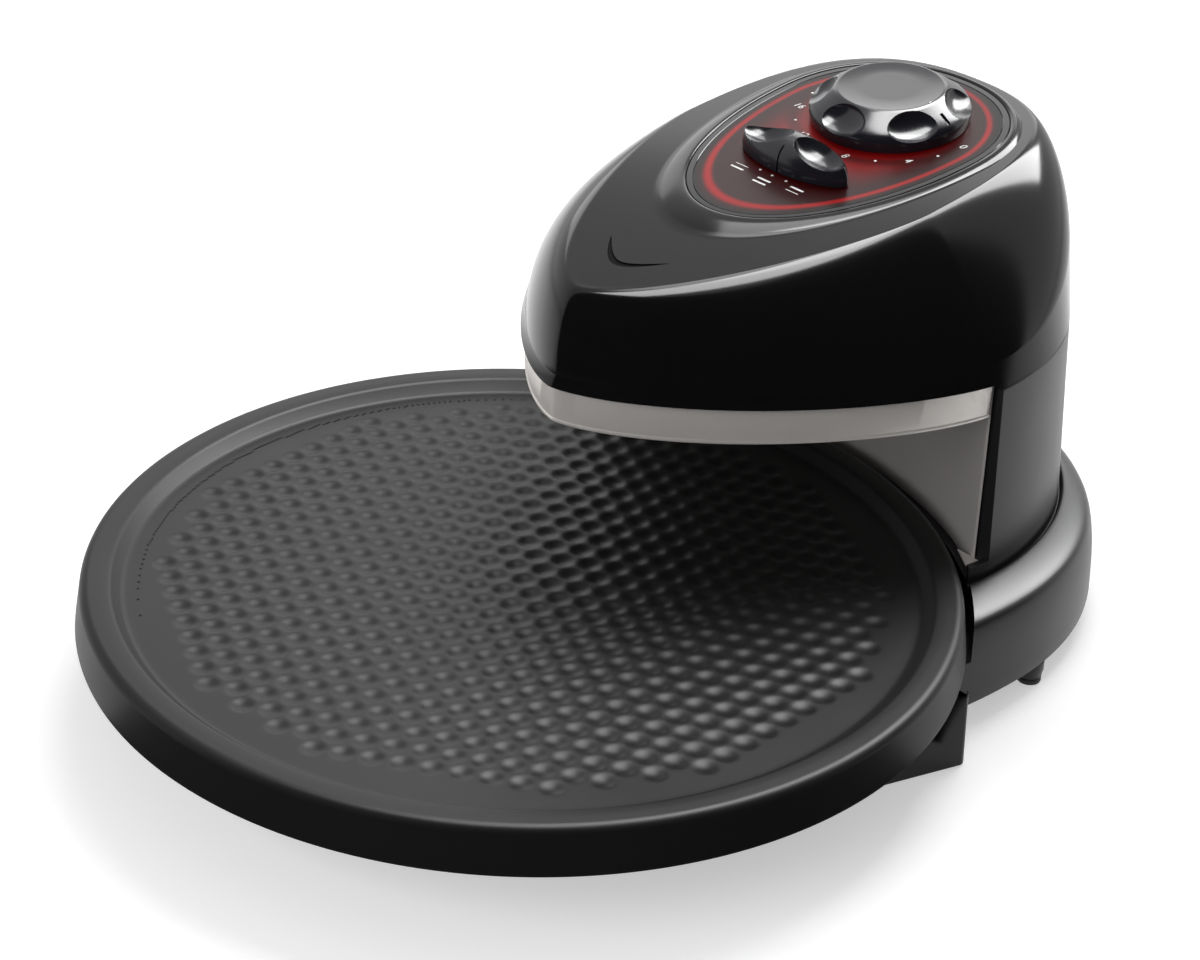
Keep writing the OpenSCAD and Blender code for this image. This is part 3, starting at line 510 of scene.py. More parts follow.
def dial_point(side, front, rear, a):
    nose, tail = DIAL_FRONT + front - DIAL_MID, DIAL_REAR + rear + DIAL_MID
    x, y = egg_point(DIAL_HALF_W + side, nose, tail, *DIAL_POWERS, a)
    return x, y - DIAL_MID


def dial_outline(grow):
    return [dial_point(grow, grow, grow, a) for a in ANGLES]


def dial_ring(grow, z):
    return [on_panel((x, y, z)) for x, y in dial_outline(grow)]


def panel_face(y):
    return PANEL_Z + (y - KNOB_Y) * math.tan(TILT)


def ramp_point(out, up, a):
    crest, w = DIAL_BORDER + CREST_W, RAMP_W - CREST_W
    x, y = dial_point(crest + out * w, crest + out * (2.7 * RAMP_W - CREST_W), crest + 0.8 * out * w, a)
    y = KNOB_Y + y * math.cos(TILT)
    foot = head_top(y)
    return x, y, foot + up * (panel_face(y) + CREST_RISE - foot)


def top_ring(share):
    """Ring on the head's flat top, between its edge and the foot of the panel's ramp."""
    ring = []
    for a in ANGLES:
        ex, ey = flat_point(0, a)
        rx, ry, _ = ramp_point(1, 0, a)
        x, y = ex + share * (rx - ex), ey + share * (ry - ey)
        ring.append((x, y, head_top(y)))
    return ring


def upper_housing():
    low = SEAM_Z + SEAM_GAP
    turns = [math.radians(2.5 * i) for i in range(37)]
    outer = [lifted(head_outline(0.35), low, HEAD_Y), lifted(head_outline(0), low + 0.35, HEAD_Y)]
    outer += [shoulder_ring(0, 0, t) for t in turns]
    outer += [top_ring(s) for s in (0.04, 0.3, 0.6, 0.9)]
    steps = [1 - i / 9 for i in range(10)]
    outer += [[ramp_point(u, 1 - u ** 1.75, a) for a in ANGLES] for u in steps]
    well = [dial_ring(DIAL_BORDER + 0.9, CREST_RISE - 0.02), dial_ring(DIAL_BORDER + 0.4, CREST_RISE - 0.3),
            dial_ring(DIAL_BORDER + PANEL_FIT, -0.3), dial_ring(DIAL_BORDER + PANEL_FIT, -PANEL_T),
            dial_ring(DIAL_BORDER - 3, -PANEL_T), dial_ring(DIAL_BORDER - 3, -PANEL_T - LEDGE_T),
            dial_ring(DIAL_BORDER, -PANEL_T - LEDGE_T)]
    inner = [shoulder_ring(WALL, WALL, t) for t in reversed(turns[::4])]
    inner.append(lifted(head_outline(WALL), low, HEAD_Y))
    piece = loft("upper_housing_shell", outer + well + inner, 30.0, closed=True)
    cut(piece, block((-FAR, -FAR, SEAM_Z - 10), (FAR, HEAD_Y - 1, HEAD_Z)))
    cut(piece, chevron(0.0, -1.4, 20))
    crisp(piece, 30.0)
    place(piece, "upper_housing_shell", "base", "gloss_black", "upper_housing")
    # The chevron groove's floor is filled with matte near-black: painted shade standing in for the groove's
    # darkness.
    place(chevron(0.1, -1.38, -0.6), "chevron_painted_shade", "base", "gloss_black", material=FLAG_AND_PAINTED_SHADE_BLACK)


def chevron(shrink, low, high):
    """Bent stroke with thin ends in the nose of the head's top, between two heights above it."""
    at = HEAD_Y - 0.84 * FLAT_NOSE
    slope = math.atan((head_top(at + 12.4) - head_top(at)) / 12.4)
    near, far = [], []
    for i in range(33):
        t = i / 32
        b = ((1 - t) ** 3, 3 * t * (1 - t) ** 2, 3 * t * t * (1 - t), t ** 3)
        x = sum(w * v for w, v in zip(b, (-16, -1.2, 1.2, 16)))
        y = sum(w * v for w, v in zip(b, (12.4, -4.1, -4.1, 12.4)))
        dx = 3 * ((1 - t) ** 2 * 14.8 + 2 * t * (1 - t) * 2.4 + t * t * 14.8)
        dy = 3 * (-(1 - t) ** 2 * 16.5 + t * t * 16.5)
        half = (0.12 + 1.45 * math.sin(math.pi * t) ** 0.9) - shrink * min(1, 3 * math.sin(math.pi * t))
        nx, ny = -dy / math.hypot(dx, dy), dx / math.hypot(dx, dy)
        near.append((x - nx * half, y - ny * half))
        far.append((x + nx * half, y + ny * half))
    outline = near + far[::-1]
    rings = [[(x, at + y * math.cos(slope) - z * math.sin(slope), head_top(at) + y * math.sin(slope)
               + z * math.cos(slope)) for x, y in outline] for z in (low, high)]
    return loft("cutter", rings)


# ---- control panel ----

PANEL_HOLE_R = 5.0
MARK_T = 0.12
SCALE_R = 39.1
SCALE_START = 0.7
SCALE_STEP = 19.2
SCALE_MARKS = 10


def control_panel():
    border = DIAL_BORDER
    rings = [dial_ring(border, -PANEL_T), dial_ring(border, -0.3), dial_ring(border - 0.3, 0),
             dial_ring(0.25, 0), dial_ring(0, -0.2), dial_ring(0, -0.6)]
    piece = loft("cutter", rings)
    for y in (0, -SELECTOR_OFFSET):
        cut(piece, panel_rod(PANEL_HOLE_R, -10, 10, 48, y))
    place(crisp(piece), "control_panel_frame", "base", "gloss_black", "control_panel")
    field = loft("cutter", [dial_ring(-0.2, -0.6), dial_ring(-0.2, -0.15), dial_ring(-0.25, -0.1)])
    for y in (0, -SELECTOR_OFFSET):
        cut(field, panel_rod(PANEL_HOLE_R, -10, 10, 48, y))
    place(crisp(field), "dial_label", "base", "dial_red", "dial_field")


def panel_prism(bm, outline):
    """Mark printed on the panel, its top level with the panel's face."""
    add_rings(bm, [[on_panel((x, y, z)) for x, y in outline] for z in (-MARK_T, 0)])


def scale_place(k):
    """Place of the dial's k-th mark, at even steps clockwise from its zero."""
    a = math.radians(SCALE_START - SCALE_STEP * k)
    return SCALE_R * math.cos(a), SCALE_R * math.sin(a)


def dial_marks():
    """Minute scale: dots between numbers. Three dots and bar symbols stand by the selector."""
    bm = bmesh.new()
    for k in range(1, SCALE_MARKS, 2):
        panel_prism(bm, circle(0.62, 20, scale_place(k)))
    for x, y in ((-7.3, -69.9), (-0.5, -70.2), (6.9, -69.9)):
        panel_prism(bm, circle(0.6, 20, (x, y)))
    for k, (x, y) in enumerate(((-15.5, -73.4), (-0.3, -76.6), (14.7, -73.4))):
        for bar, dy in ((0, -1.5), (1, 1.5)):
            on = k == 1 or (k == 0 and bar == 0) or (k == 2 and bar == 1)
            w, t = 3.4, 0.5 if on else 0.17
            low, high = y + dy - t, y + dy + t
            panel_prism(bm, [(x - w, low), (x + w, low), (x + w, high), (x - w, high)])
    place(make_piece("dial_dots", bm), "dial_dots", "base", "white_mark")


def dial_numbers():
    bm = bmesh.new()
    for k in range(0, SCALE_MARKS, 2):
        place_x, place_y = scale_place(k)
        curve = bpy.data.curves.new("number", "FONT")
        curve.body = str(2 * k)
        curve.size = 5.0
        curve.shear = 0.2
        curve.extrude = MARK_T / 2
        curve.resolution_u = 4
        curve.align_x = "CENTER"
        curve.align_y = "CENTER"
        text = bpy.data.objects.new("number", curve)
        bpy.context.scene.collection.objects.link(text)
        depsgraph = bpy.context.evaluated_depsgraph_get()
        mesh = bpy.data.meshes.new_from_object(text.evaluated_get(depsgraph))
        for vertex in mesh.vertices:
            x, y, z = vertex.co
            vertex.co = on_panel((x + place_x, y + place_y, z - MARK_T / 2))
        bm.from_mesh(mesh)
        bpy.data.objects.remove(text)
        bpy.data.curves.remove(curve)
        bpy.data.meshes.remove(mesh)
    place(make_piece("dial_numbers", bm), "dial_numbers", "base", "white_mark")


# ---- knobs ----

KNOB_TOP_R = 0.65 * KNOB_R
SHAFT_R = 3.05
POINTER_END = 27.4


def timer_knob():
    line = [(0.975 * KNOB_R, 0), (KNOB_R, 0.28 * KNOB_H), (0.985 * KNOB_R, 0.42 * KNOB_H),
            (0.94 * KNOB_R, 0.56 * KNOB_H), (0.65 * KNOB_R + 1.5, 0.955 * KNOB_H)]
    section = rounded(line, 3)
    top = KNOB_TOP_R
    section += [(top + 0.9, 0.975 * KNOB_H), (top + 0.35, 0.997 * KNOB_H), (top - 0.2, KNOB_H)]
    section += [(top - 0.7, KNOB_H - 0.12)]
    section += [(0.55 * top, KNOB_H - 0.16), (0.2, KNOB_H - 0.18)]
    rings = [[on_panel((p[0], p[1], z + KNOB_LIFT)) for p in circle(r)] for r, z in section]
    piece = loft("cutter", rings, 25.0)
    slope = math.atan2(0.395 * KNOB_H, 0.29 * KNOB_R - 1.5)
    for i in range(6):
        bm = scoop_mesh((7.6, 11.6, 4.6), slope, (29.7, 0, 0.72 * KNOB_H + KNOB_LIFT), 96, 64)
        about = Matrix.Rotation(math.radians(60 * i + 30), 3, "Z")
        bmesh.ops.rotate(bm, cent=(0, 0, 0), matrix=about, verts=bm.verts)
        for vertex in bm.verts:
            vertex.co = on_panel(vertex.co)
        cut(piece, make_piece("cutter", bm))
    soften(piece, 0.35, 28.0)
    cut(piece, panel_rod(0.72 * KNOB_R, -2, 0.45 * KNOB_H + KNOB_LIFT, STEPS))
    cut(piece, panel_rod(7, KNOB_LIFT, 0.6 * KNOB_H, 64), "UNION")
    cut(piece, panel_rod(SHAFT_R, -2, 9 + KNOB_LIFT, 48))
    cut(piece, knob_strip(POINTER_END, 32.2, 0.9, 1.1))
    crisp(piece, 28.0)
    place(piece, "timer_knob_body", "timer", "knob_charcoal", "timer_knob")
    pointer = knob_strip(top - 0.5, POINTER_END, 0.72, 0.5, 0.07)
    place(pointer, "timer_pointer_line", "timer", "white_mark", "timer_pointer")


def knob_height(r):
    """Height of the knob's outer line at a radius on its upper slope."""
    a = (KNOB_TOP_R + 0.9, 0.972 * KNOB_H)
    b = (0.94 * KNOB_R, 0.56 * KNOB_H)
    c = (0.985 * KNOB_R, 0.42 * KNOB_H)
    if r < a[0]:
        return KNOB_H + (a[1] - KNOB_H) * max(0.0, (r - KNOB_TOP_R + 0.2) / 1.1)
    low, high = (a, b) if r < b[0] else (b, c)
    return low[1] + (high[1] - low[1]) * (r - low[0]) / (high[0] - low[0])


def knob_strip(start, end, width, depth, proud=0.3):
    """Strip along the knob's slope from one radius to another, for a groove or for paint."""
    count = 10
    rings = []
    for i in range(count + 1):
        r = start + (end - start) * i / count
        z = knob_height(r) + KNOB_LIFT
        corners = ((-width, -depth), (width, -depth), (width, proud), (-width, proud))
        rings.append([on_panel((r, side, z + up)) for side, up in corners])
    return loft("cutter", rings)


# share of the selector's full outline at each height
SELECTOR_DOME = [(0.985, 0), (1.0, 0.5), (0.99, 3.0), (0.95, 5.6), (0.89, 7.5), (0.8, 9.0), (0.68, 10.3),
                 (0.52, 11.4), (0.34, 12.1), (0.16, 12.4), (0.03, 12.5)]
SELECTOR_HALF_L = 28.5
SELECTOR_HALF_W = 10.6


def selector_knob():
    rings = []
    for s, z in SELECTOR_DOME:
        half_l, half_w = SELECTOR_HALF_L * s ** 0.5, SELECTOR_HALF_W * s
        rings.append([(half_l * math.cos(a), half_w * power(math.sin(a), 1.25), z) for a in ANGLES])
    bm = bmesh.new()
    add_rings(bm, rings)
    body = finish_selector(bm)
    for side in (-1, 1):
        scoop = scoop_mesh((13.2, 8.6, 8.4), side * math.radians(9), (side * 14.8, -0.4, 12.6), 128, 96)
        cut(body, finish_selector(scoop))
    soften(body, 0.45, 24.0)
    notch = box_mesh((-0.4, -12, -1), (0.4, -6.2, 14))
    cut(body, finish_selector(notch))
    socket = box_mesh((-SHAFT_R, -SHAFT_R, -3), (SHAFT_R, SHAFT_R, 6.6))
    cut(body, finish_selector(socket))
    crisp(body, 26.0)
    place(body, "selector_knob_body", "selector", "knob_charcoal", "selector_knob")


def finish_selector(bm):
    """Move a bmesh drawn about the selector's axis onto the control panel."""
    for vertex in bm.verts:
        x, y, z = vertex.co
        vertex.co = on_panel((x, y - SELECTOR_OFFSET, z + KNOB_LIFT))
    return make_piece("cutter", bm)


# ---- column, reflector and shield ----


def column_outline(inset, spread):
    """The column's outline, which widens from the seam (0) to its foot (1)."""
    half_w = HEAD_HALF_W - inset + COLUMN_SIDE * spread
    tail = HEAD_TAIL - inset + COLUMN_REAR * spread
    return egg(half_w, HEAD_NOSE - inset, tail, *HEAD_POWERS)


JAMB_OUTER_X = 108.6
JAMB_INNER_X = 100


def column_shell():
    rings = [lifted(column_outline(0, 1), DECK_Z, HEAD_Y), lifted(column_outline(0, 0.62), 77, HEAD_Y),
             lifted(column_outline(0, 0.28), 106, HEAD_Y), lifted(head_outline(0), SEAM_Z - 0.4, HEAD_Y),
             lifted(head_outline(0.4), SEAM_Z, HEAD_Y), lifted(head_outline(WALL), SEAM_Z, HEAD_Y),
             lifted(column_outline(WALL, 1), DECK_Z, HEAD_Y)]
    piece = loft("cutter", rings, closed=True)
    jamb = loft("cutter", [lifted(column_outline(WALL / 2, 1), DECK_Z + 0.01, HEAD_Y),
                           lifted(head_outline(WALL / 2), SEAM_Z - 0.5, HEAD_Y)])
    cut(jamb, block((-FAR, HEAD_Y, 0), (FAR, HEAD_Y + 4, FAR)), "INTERSECT")
    cut(piece, jamb, "UNION")
    cut(piece, block((-FAR, -FAR, SILL_Z), (FAR, HEAD_Y, FAR)))
    cut(piece, slab(circle(SWEEP_R), DECK_Z - 5, FAR))
    room = slab(circle(SHIELD_R + STEEL + 0.1), DECK_Z - 5, FAR)
    cut(room, block((-FAR, HEAD_Y - 1, 0), (FAR, FAR, FAR)), "INTERSECT")
    cut(piece, room)
    # narrow step round the opening, inside the jamb's front edge
    for side in (-1, 1):
        x0, x1 = sorted((side * JAMB_OUTER_X, side * JAMB_INNER_X))
        cut(piece, block((x0, HEAD_Y - 2, SILL_Z - 0.8), (x1, HEAD_Y + 1.1, SEAM_Z + 5)))
    crisp(piece)
    place(piece, "column_skin", "base", "satin_black", "column_shell")


def upper_reflector():
    def band(inset, z, r):
        ring = []
        for x, y in head_outline(BAND_INSET + inset):
            y += HEAD_Y
            k = min(1.0, r / math.hypot(x, y))
            ring.append((x * k, y * k, z))
        return ring

    r = SHIELD_R - 0.3
    hem = [(0.5, 0), (0.1, 0.25), (0, 0.8), (0.1, 1.35), (0.35, 1.7), (0.3, 2.4)]
    outer = [band(inset, BAND_Z + up, r) for inset, up in hem]
    outer += [band(0.3, REFLECTOR_TOP - 0.4, r), band(0.6, REFLECTOR_TOP, r)]
    piece = loft("cutter", outer)
    inner = [band(STEEL + 0.4, z, r - STEEL) for z in (BAND_Z - 3, REFLECTOR_TOP - STEEL)]
    cut(piece, loft("cutter", inner))
    cut(piece, block((-FAR, HEAD_Y - 0.4, BAND_Z - 3), (FAR, FAR, REFLECTOR_TOP - 5)))
    for side in (-1, 1):
        pin_hole = circle(6.2, 48, (side * 14, 0.853 * HEAD_Y + 16))
        cut(piece, slab(pin_hole, REFLECTOR_TOP - 4, REFLECTOR_TOP + 5))
    crisp(piece)
    place(piece, "reflector_band", "base", "steel", "upper_reflector")


def heat_shield():
    r0, r1 = SHIELD_R, SHIELD_R + STEEL
    edge = math.acos(HEAD_Y / r1)
    steps = 120
    rings = []
    for i in range(steps + 1):
        a = math.pi / 2 - edge + 2 * edge * i / steps
        c, s = math.cos(a), math.sin(a)
        rings.append([(r0 * c, r0 * s, DECK_Z), (r1 * c, r1 * s, DECK_Z), (r1 * c, r1 * s, REFLECTOR_TOP),
                      (r0 * c, r0 * s, REFLECTOR_TOP)])
    piece = loft("cutter", rings)
    cut(piece, block((-FAR, HEAD_Y - 20, 0), (FAR, HEAD_Y, FAR)))
    sill = slab(head_outline(WALL + 0.1), SILL_Z - 2 - STEEL, SILL_Z - 2, HEAD_Y)
    cut(sill, block((-FAR, HEAD_Y - 30, 0), (FAR, HEAD_Y + 0.6, FAR)), "INTERSECT")
    cut(sill, slab(circle(SWEEP_R), 0, FAR))
    cut(piece, sill, "UNION")
    crisp(piece)
    place(piece, "shield_wall", "base", "steel", "heat_shield", material=SHIELD_STEEL)


# ---- base and tray ----


def base_outline(inset):
    return egg(BASE_HALF_W - inset, BASE_NOSE - inset, BASE_TAIL - inset, *BASE_POWERS)


BASE_LINE = [(0.8, 10.5), (0.15, 11.0), (0, 12.2), (0.2, 18), (0.6, 26), (1.2, 33), (2.0, 38.1), (2.9, 41.9),
             (3.6, 43.9), (4.3, 45.2)]
LEDGE_LINE = [(0.07, 46.2), (0.16, 47.0), (0.3, 47.9), (0.46, 48.7), (0.62, 49.4), (0.76, 49.85), (0.85, 50),
              (0.9, 49.85), (0.94, 49.3), (0.97, 48.4), (1.0, 47)]


LEDGE_NOSE = 168


def ledge_ring(share, z):
    """Ring on the ledge, a share of the way from its outer edge to the foot of the column."""
    inner = egg(HEAD_HALF_W + COLUMN_SIDE + 0.3, LEDGE_NOSE, HEAD_TAIL + COLUMN_REAR + 0.3, 2.0, 2.0)
    ring = []
    for (ox, oy), (ix, iy) in zip(base_outline(BASE_LINE[-1][0]), inner):
        oy, iy = oy + BASE_Y, iy + HEAD_Y
        ring.append((ox + share * (ix - ox), oy + share * (iy - oy), z))
    return ring


# half width, nose, tail and the two powers
LOWER_REFLECTOR_OUTLINE = (84.07, 72, 55.95, 2, 2.4)
TERMINAL_LOW = (-30, 216, 37)
TERMINAL_HIGH = (30, 240, 57)
INLET_R = 7
INLET_Z = 24


def base_pedestal():
    piece = loft("cutter", [lifted(base_outline(i), z, BASE_Y) for i, z in BASE_LINE]
                 + [ledge_ring(share, z) for share, z in LEDGE_LINE])
    low = [lifted(base_outline(BASE_WALL + i), z, BASE_Y) for i, z in
           ((0, BASE_Z - 5), (0.6, 24), (1.4, UNDER_DECK_Z - BASE_WALL))]
    cut(piece, loft("cutter", low))
    high = [lifted(base_outline(BASE_WALL + i), z, BASE_Y) for i, z in
            ((1.4, 28), (2, 35.6), (4, 41.5), (9, 43.5), (14, 43.5))]
    ledge = loft("cutter", high)
    cut(ledge, slab(circle(SWEEP_R + 2.5), 0, FAR))
    cut(piece, ledge)
    cut(piece, slab(circle(SWEEP_R), UNDER_DECK_Z, FAR))
    outline = [egg_point(*LOWER_REFLECTOR_OUTLINE, 2 * math.pi * i / 96) for i in range(96)]
    cut(piece, slab(outline, UNDER_DECK_Z - 10, UNDER_DECK_Z + 5, 96))
    cut(piece, slab(circle(8, 96), UNDER_DECK_Z - 10, UNDER_DECK_Z + 5))
    cut(piece, block(TERMINAL_LOW, TERMINAL_HIGH))
    inlet = []
    for y in (268, 298):
        inlet.append([(INLET_R * math.cos(a), y, INLET_Z + INLET_R * math.sin(a)) for a in ANGLES[::5]])
    cut(piece, loft("cutter", inlet))
    crisp(piece, 40.0)
    place(piece, "base_skin", "base", "satin_black", "base_pedestal")


def tray_outline(inset):
    """Convex outline round two rear corners and two large front corners, anticlockwise."""
    cx, cy = TRAY_CORNER
    r = TRAY_FRONT_R - inset
    rear = (TRAY_HALF_W - 3, TRAY_REAR_Y - 3)
    rear_r = 3 - min(inset, 1)
    dx, dy = rear[0] - cx, rear[1] - cy
    lean = math.atan2(dy, dx) - math.acos((r - rear_r) / math.hypot(dx, dy))
    right = []
    for i in range(61):
        a = -math.pi / 2 + (lean + math.pi / 2) * i / 60
        right.append((cx + r * math.cos(a), cy + r * math.sin(a)))
    for i in range(17):
        a = lean + (math.pi / 2 - lean) * i / 16
        right.append((rear[0] + rear_r * math.cos(a), rear[1] + rear_r * math.sin(a)))
    return right + [(-x, y) for x, y in reversed(right)]


def base_tray():
    profile = [(0.7, 0), (0.1, 0.5), (0, 1.2), (0.9 * TRAY_DRAFT, TRAY_H - 1.6)]
    profile += [(TRAY_DRAFT + 0.15, TRAY_H - 0.6), (TRAY_DRAFT + 0.7, TRAY_H)]
    piece = loft("cutter", [lifted(tray_outline(i), z) for i, z in profile])
    cut(piece, slab(tray_outline(TRAY_WALL + TRAY_DRAFT), -5, TRAY_H - 6.2))
    cut(piece, slab(tray_outline(TRAY_WALL + TRAY_DRAFT), TRAY_H - 4, TRAY_H + 5))
    cut(piece, slab(base_outline(-0.5), -5, TRAY_H + 5, BASE_Y))
    cut(piece, block((-FAR, TRAY_REAR_Y, -5), (FAR, FAR, FAR)))
    crisp(piece)
    place(piece, "tray_skin", "base", "gloss_black", "base_tray")


# turn in degrees and inset of the feet on either side
FOOT_PLACES = ((9.5, 5.6), (58, 16))


def each_foot():
    for angle, inset in FOOT_PLACES:
        half_w, nose, tail = BASE_HALF_W - inset, BASE_NOSE - inset, BASE_TAIL - inset
        x, y = egg_point(half_w, nose, tail, *BASE_POWERS, math.radians(angle))
        for side in (-1, 1):
            yield side * x, y + BASE_Y


def feet():
    leg = [(0.5, 3.05), (4.9, 3.05), (5.1, 3.4), (5.2, 5.5), (5.6, 6.2), (5.6, 10.5), (0.5, 10.5)]
    pad = [(0.5, 0), (4.1, 0), (4.75, 0.3), (5, 0.9), (5, 2.2), (4.7, 2.7), (4.2, 3.0), (0.5, 3.0)]
    for name, section, slot, node in (("foot_stems", leg, "satin_black", "foot_legs"),
                                      ("foot_cushions", pad, "rubber", "foot_pads")):
        bm = bmesh.new()
        for at in each_foot():
            add_rings(bm, [lifted(circle(r, 48, at), z) for r, z in section])
        place(make_piece("cutter", bm), name, "base", slot, node)


# ---- pan ----

DIMPLE_PITCH = 11.2
DIMPLE_TURN = math.radians(-30 + 3)
DIMPLE_REACH = 148.5
DIMPLE_R = 4.9
DIMPLE_DEPTH = 1.1
CELL = 8
FIELD_R = 153.0
RIM_EDGE_R = 4.0
PAN_STEPS = 360


def rim_edge(r, degrees):
    """Point of the rim's rounded outer edge, in (radius, height)."""
    a = math.radians(degrees)
    return RIM_R - RIM_EDGE_R + r * math.cos(a), RIM_Z - RIM_EDGE_R + r * math.sin(a)


def baking_pan():
    well = RIM_Z - WELL_DEPTH
    slope_out = RIM_R - RIM_W
    slope_in = slope_out - WELL_SLOPE
    t = SHEET
    out = [(FIELD_R + 1.5, well), (slope_in - 2, well), (slope_in - 0.6, well + 0.12)]
    out += [(slope_in + 0.6, well + 0.75)]
    out += [(slope_out - 0.8, RIM_Z - 0.85), (slope_out + 0.2, RIM_Z - 0.18), (slope_out + 1.2, RIM_Z)]
    out += [(RIM_R - 6.4, RIM_Z), (RIM_R - 5.2, RIM_Z - 0.02)]
    out += [rim_edge(RIM_EDGE_R, a) for a in range(90, 4, -6)]
    out += [(SKIRT_R - 0.35, SKIRT_Z + 4.2), (SKIRT_R - 0.08, SKIRT_Z + 1.6), (SKIRT_R, SKIRT_Z + 0.8),
            (SKIRT_R - 0.1, SKIRT_Z + 0.2), (SKIRT_R - 0.5, SKIRT_Z), (SKIRT_R - t - 0.8, SKIRT_Z),
            (SKIRT_R - t - 0.8, SKIRT_Z + 2)]
    out += [rim_edge(RIM_EDGE_R - t, a) for a in range(10, 91, 16)]
    out += [(slope_out + 0.6, RIM_Z - t), (slope_in + 0.6, well - t), (0.4, well - t)]
    bm = bmesh.new()
    rows = [[bm.verts.new(p) for p in lifted(circle(r, PAN_STEPS), z)] for r, z in out]
    for low, high in zip(rows, rows[1:]):
        for i in range(PAN_STEPS):
            j = (i + 1) % PAN_STEPS
            bm.faces.new((low[i], low[j], high[j], high[i]))
    bm.faces.new(rows[-1])
    dimpled_field(bm, rows[0], well)
    place(make_piece("cutter", bm, 40.0), "pan_sheet", "pan", "nonstick", "baking_pan")


def dimple_drop(x, y, ax, ay):
    """Depth of the pressed hollows at a place, on a lattice with steps ax and ay."""
    det = ax[0] * ay[1] - ax[1] * ay[0]
    u = (x * ay[1] - y * ay[0]) / det
    v = (ax[0] * y - ax[1] * x) / det
    best = 0.0
    for i in (math.floor(u), math.floor(u) + 1):
        for j in (math.floor(v), math.floor(v) + 1):
            cx, cy = i * ax[0] + j * ay[0], i * ax[1] + j * ay[1]
            if math.hypot(cx, cy) > DIMPLE_REACH - DIMPLE_R:
                continue
            d = math.hypot(x - cx, y - cy) / DIMPLE_R
            if d < 1:
                best = max(best, DIMPLE_DEPTH * (1 - d * d) ** 1.3)
    return best


def dimpled_field(bm, rim, well):
    """The well's dimpled middle: a fine lattice in step with the dimples, joined to the turned rim."""
    step = DIMPLE_PITCH
    ax = (step * math.cos(DIMPLE_TURN), step * math.sin(DIMPLE_TURN))
    ay = (step * math.cos(DIMPLE_TURN + math.pi / 3), step * math.sin(DIMPLE_TURN + math.pi / 3))
    reach = int(1.25 * FIELD_R / step * CELL)
    grid = {}
    for i in range(-reach, reach + 1):
        for j in range(-reach, reach + 1):
            x, y = (i * ax[0] + j * ay[0]) / CELL, (i * ax[1] + j * ay[1]) / CELL
            if math.hypot(x, y) < FIELD_R:
                grid[i, j] = bm.verts.new((x, y, well - dimple_drop(x, y, ax, ay)))
    edges = {}
    for i, j in grid:
        for corners in (((i, j), (i + 1, j), (i, j + 1)), ((i + 1, j), (i + 1, j + 1), (i, j + 1))):
            if all(c in grid for c in corners):
                bm.faces.new([grid[c] for c in corners])
                for a, b in zip(corners, corners[1:] + corners[:1]):
                    edges[a, b] = True
    border = [(a, b) for a, b in edges if (b, a) not in edges]
    used = sorted({c for pair in border for c in pair})
    for c in [c for c in grid if not grid[c].link_faces]:
        bm.verts.remove(grid[c])
    number = {c: k for k, c in enumerate(used)}
    verts = [grid[c] for c in used] + rim
    links = [(number[a], number[b]) for a, b in border]
    first = len(used)
    links += [(first + i, first + (i + 1) % len(rim)) for i in range(len(rim))]
    flat = [Vector((v.co.x, v.co.y)) for v in verts]
    _, _, faces, origins, _, _ = delaunay_2d_cdt(flat, links, [], 0, 1e-5)
    for face in faces:
        ids = [origins[k][0] for k in face]
        spot = sum((flat[k] for k in ids), Vector((0, 0))) / 3
        in_rim = all(k >= first for k in ids)
        if in_rim or not on_field(spot, grid, ax, ay):
            if not in_rim:
                bm.faces.new([verts[k] for k in ids])


def on_field(spot, grid, ax, ay):
    """True where the lattice already has a triangle."""
    det = (ax[0] * ay[1] - ax[1] * ay[0]) / CELL
    u = (spot.x * ay[1] - spot.y * ay[0]) / det
    v = (ax[0] * spot.y - ax[1] * spot.x) / det
    i, j = math.floor(u), math.floor(v)
    if (u - i) + (v - j) < 1:
        corners = ((i, j), (i + 1, j), (i, j + 1))
    else:
        corners = ((i + 1, j), (i + 1, j + 1), (i, j + 1))
    return all(c in grid and grid[c].is_valid for c in corners)


# ---- floor, light and camera ----

AZIMUTH = math.radians(44.6923)
ELEVATION = math.radians(29.5238)
ROLL = math.radians(2.7665)
FOCAL_PX = 3193.4235
IMAGE_W = 1200
SENSOR_W = 36.0
CAMERA_AT = Vector((0.78324, -0.75150 + PAN_Y, 0.71303))
FLOOR_SIZE = 6000
FLOOR_GLOW = 0.45
WORLD_FILL = 0.3
LIT_POINT = Vector((0, 0.1, 0.15))
CARD_R = 1900
CARD_Z = 1.5
CARD_TURN = 74


def make_camera():
    right = Vector((math.cos(AZIMUTH), math.sin(AZIMUTH), 0))
    back = Vector((math.sin(AZIMUTH) * math.cos(ELEVATION),
                   -math.cos(AZIMUTH) * math.cos(ELEVATION), math.sin(ELEVATION)))
    up = back.cross(right)
    side = math.cos(ROLL) * right + math.sin(ROLL) * up
    top = -math.sin(ROLL) * right + math.cos(ROLL) * up
    camera = bpy.data.objects.new("camera", bpy.data.cameras.new("camera"))
    camera.data.sensor_fit = "HORIZONTAL"
    camera.data.sensor_width = SENSOR_W
    camera.data.lens = FOCAL_PX / IMAGE_W * SENSOR_W
    camera.matrix_world = Matrix.Translation(CAMERA_AT) @ Matrix((side, top, back)).transposed().to_4x4()
    bpy.context.scene.collection.objects.link(camera)
    bpy.context.scene.camera = camera


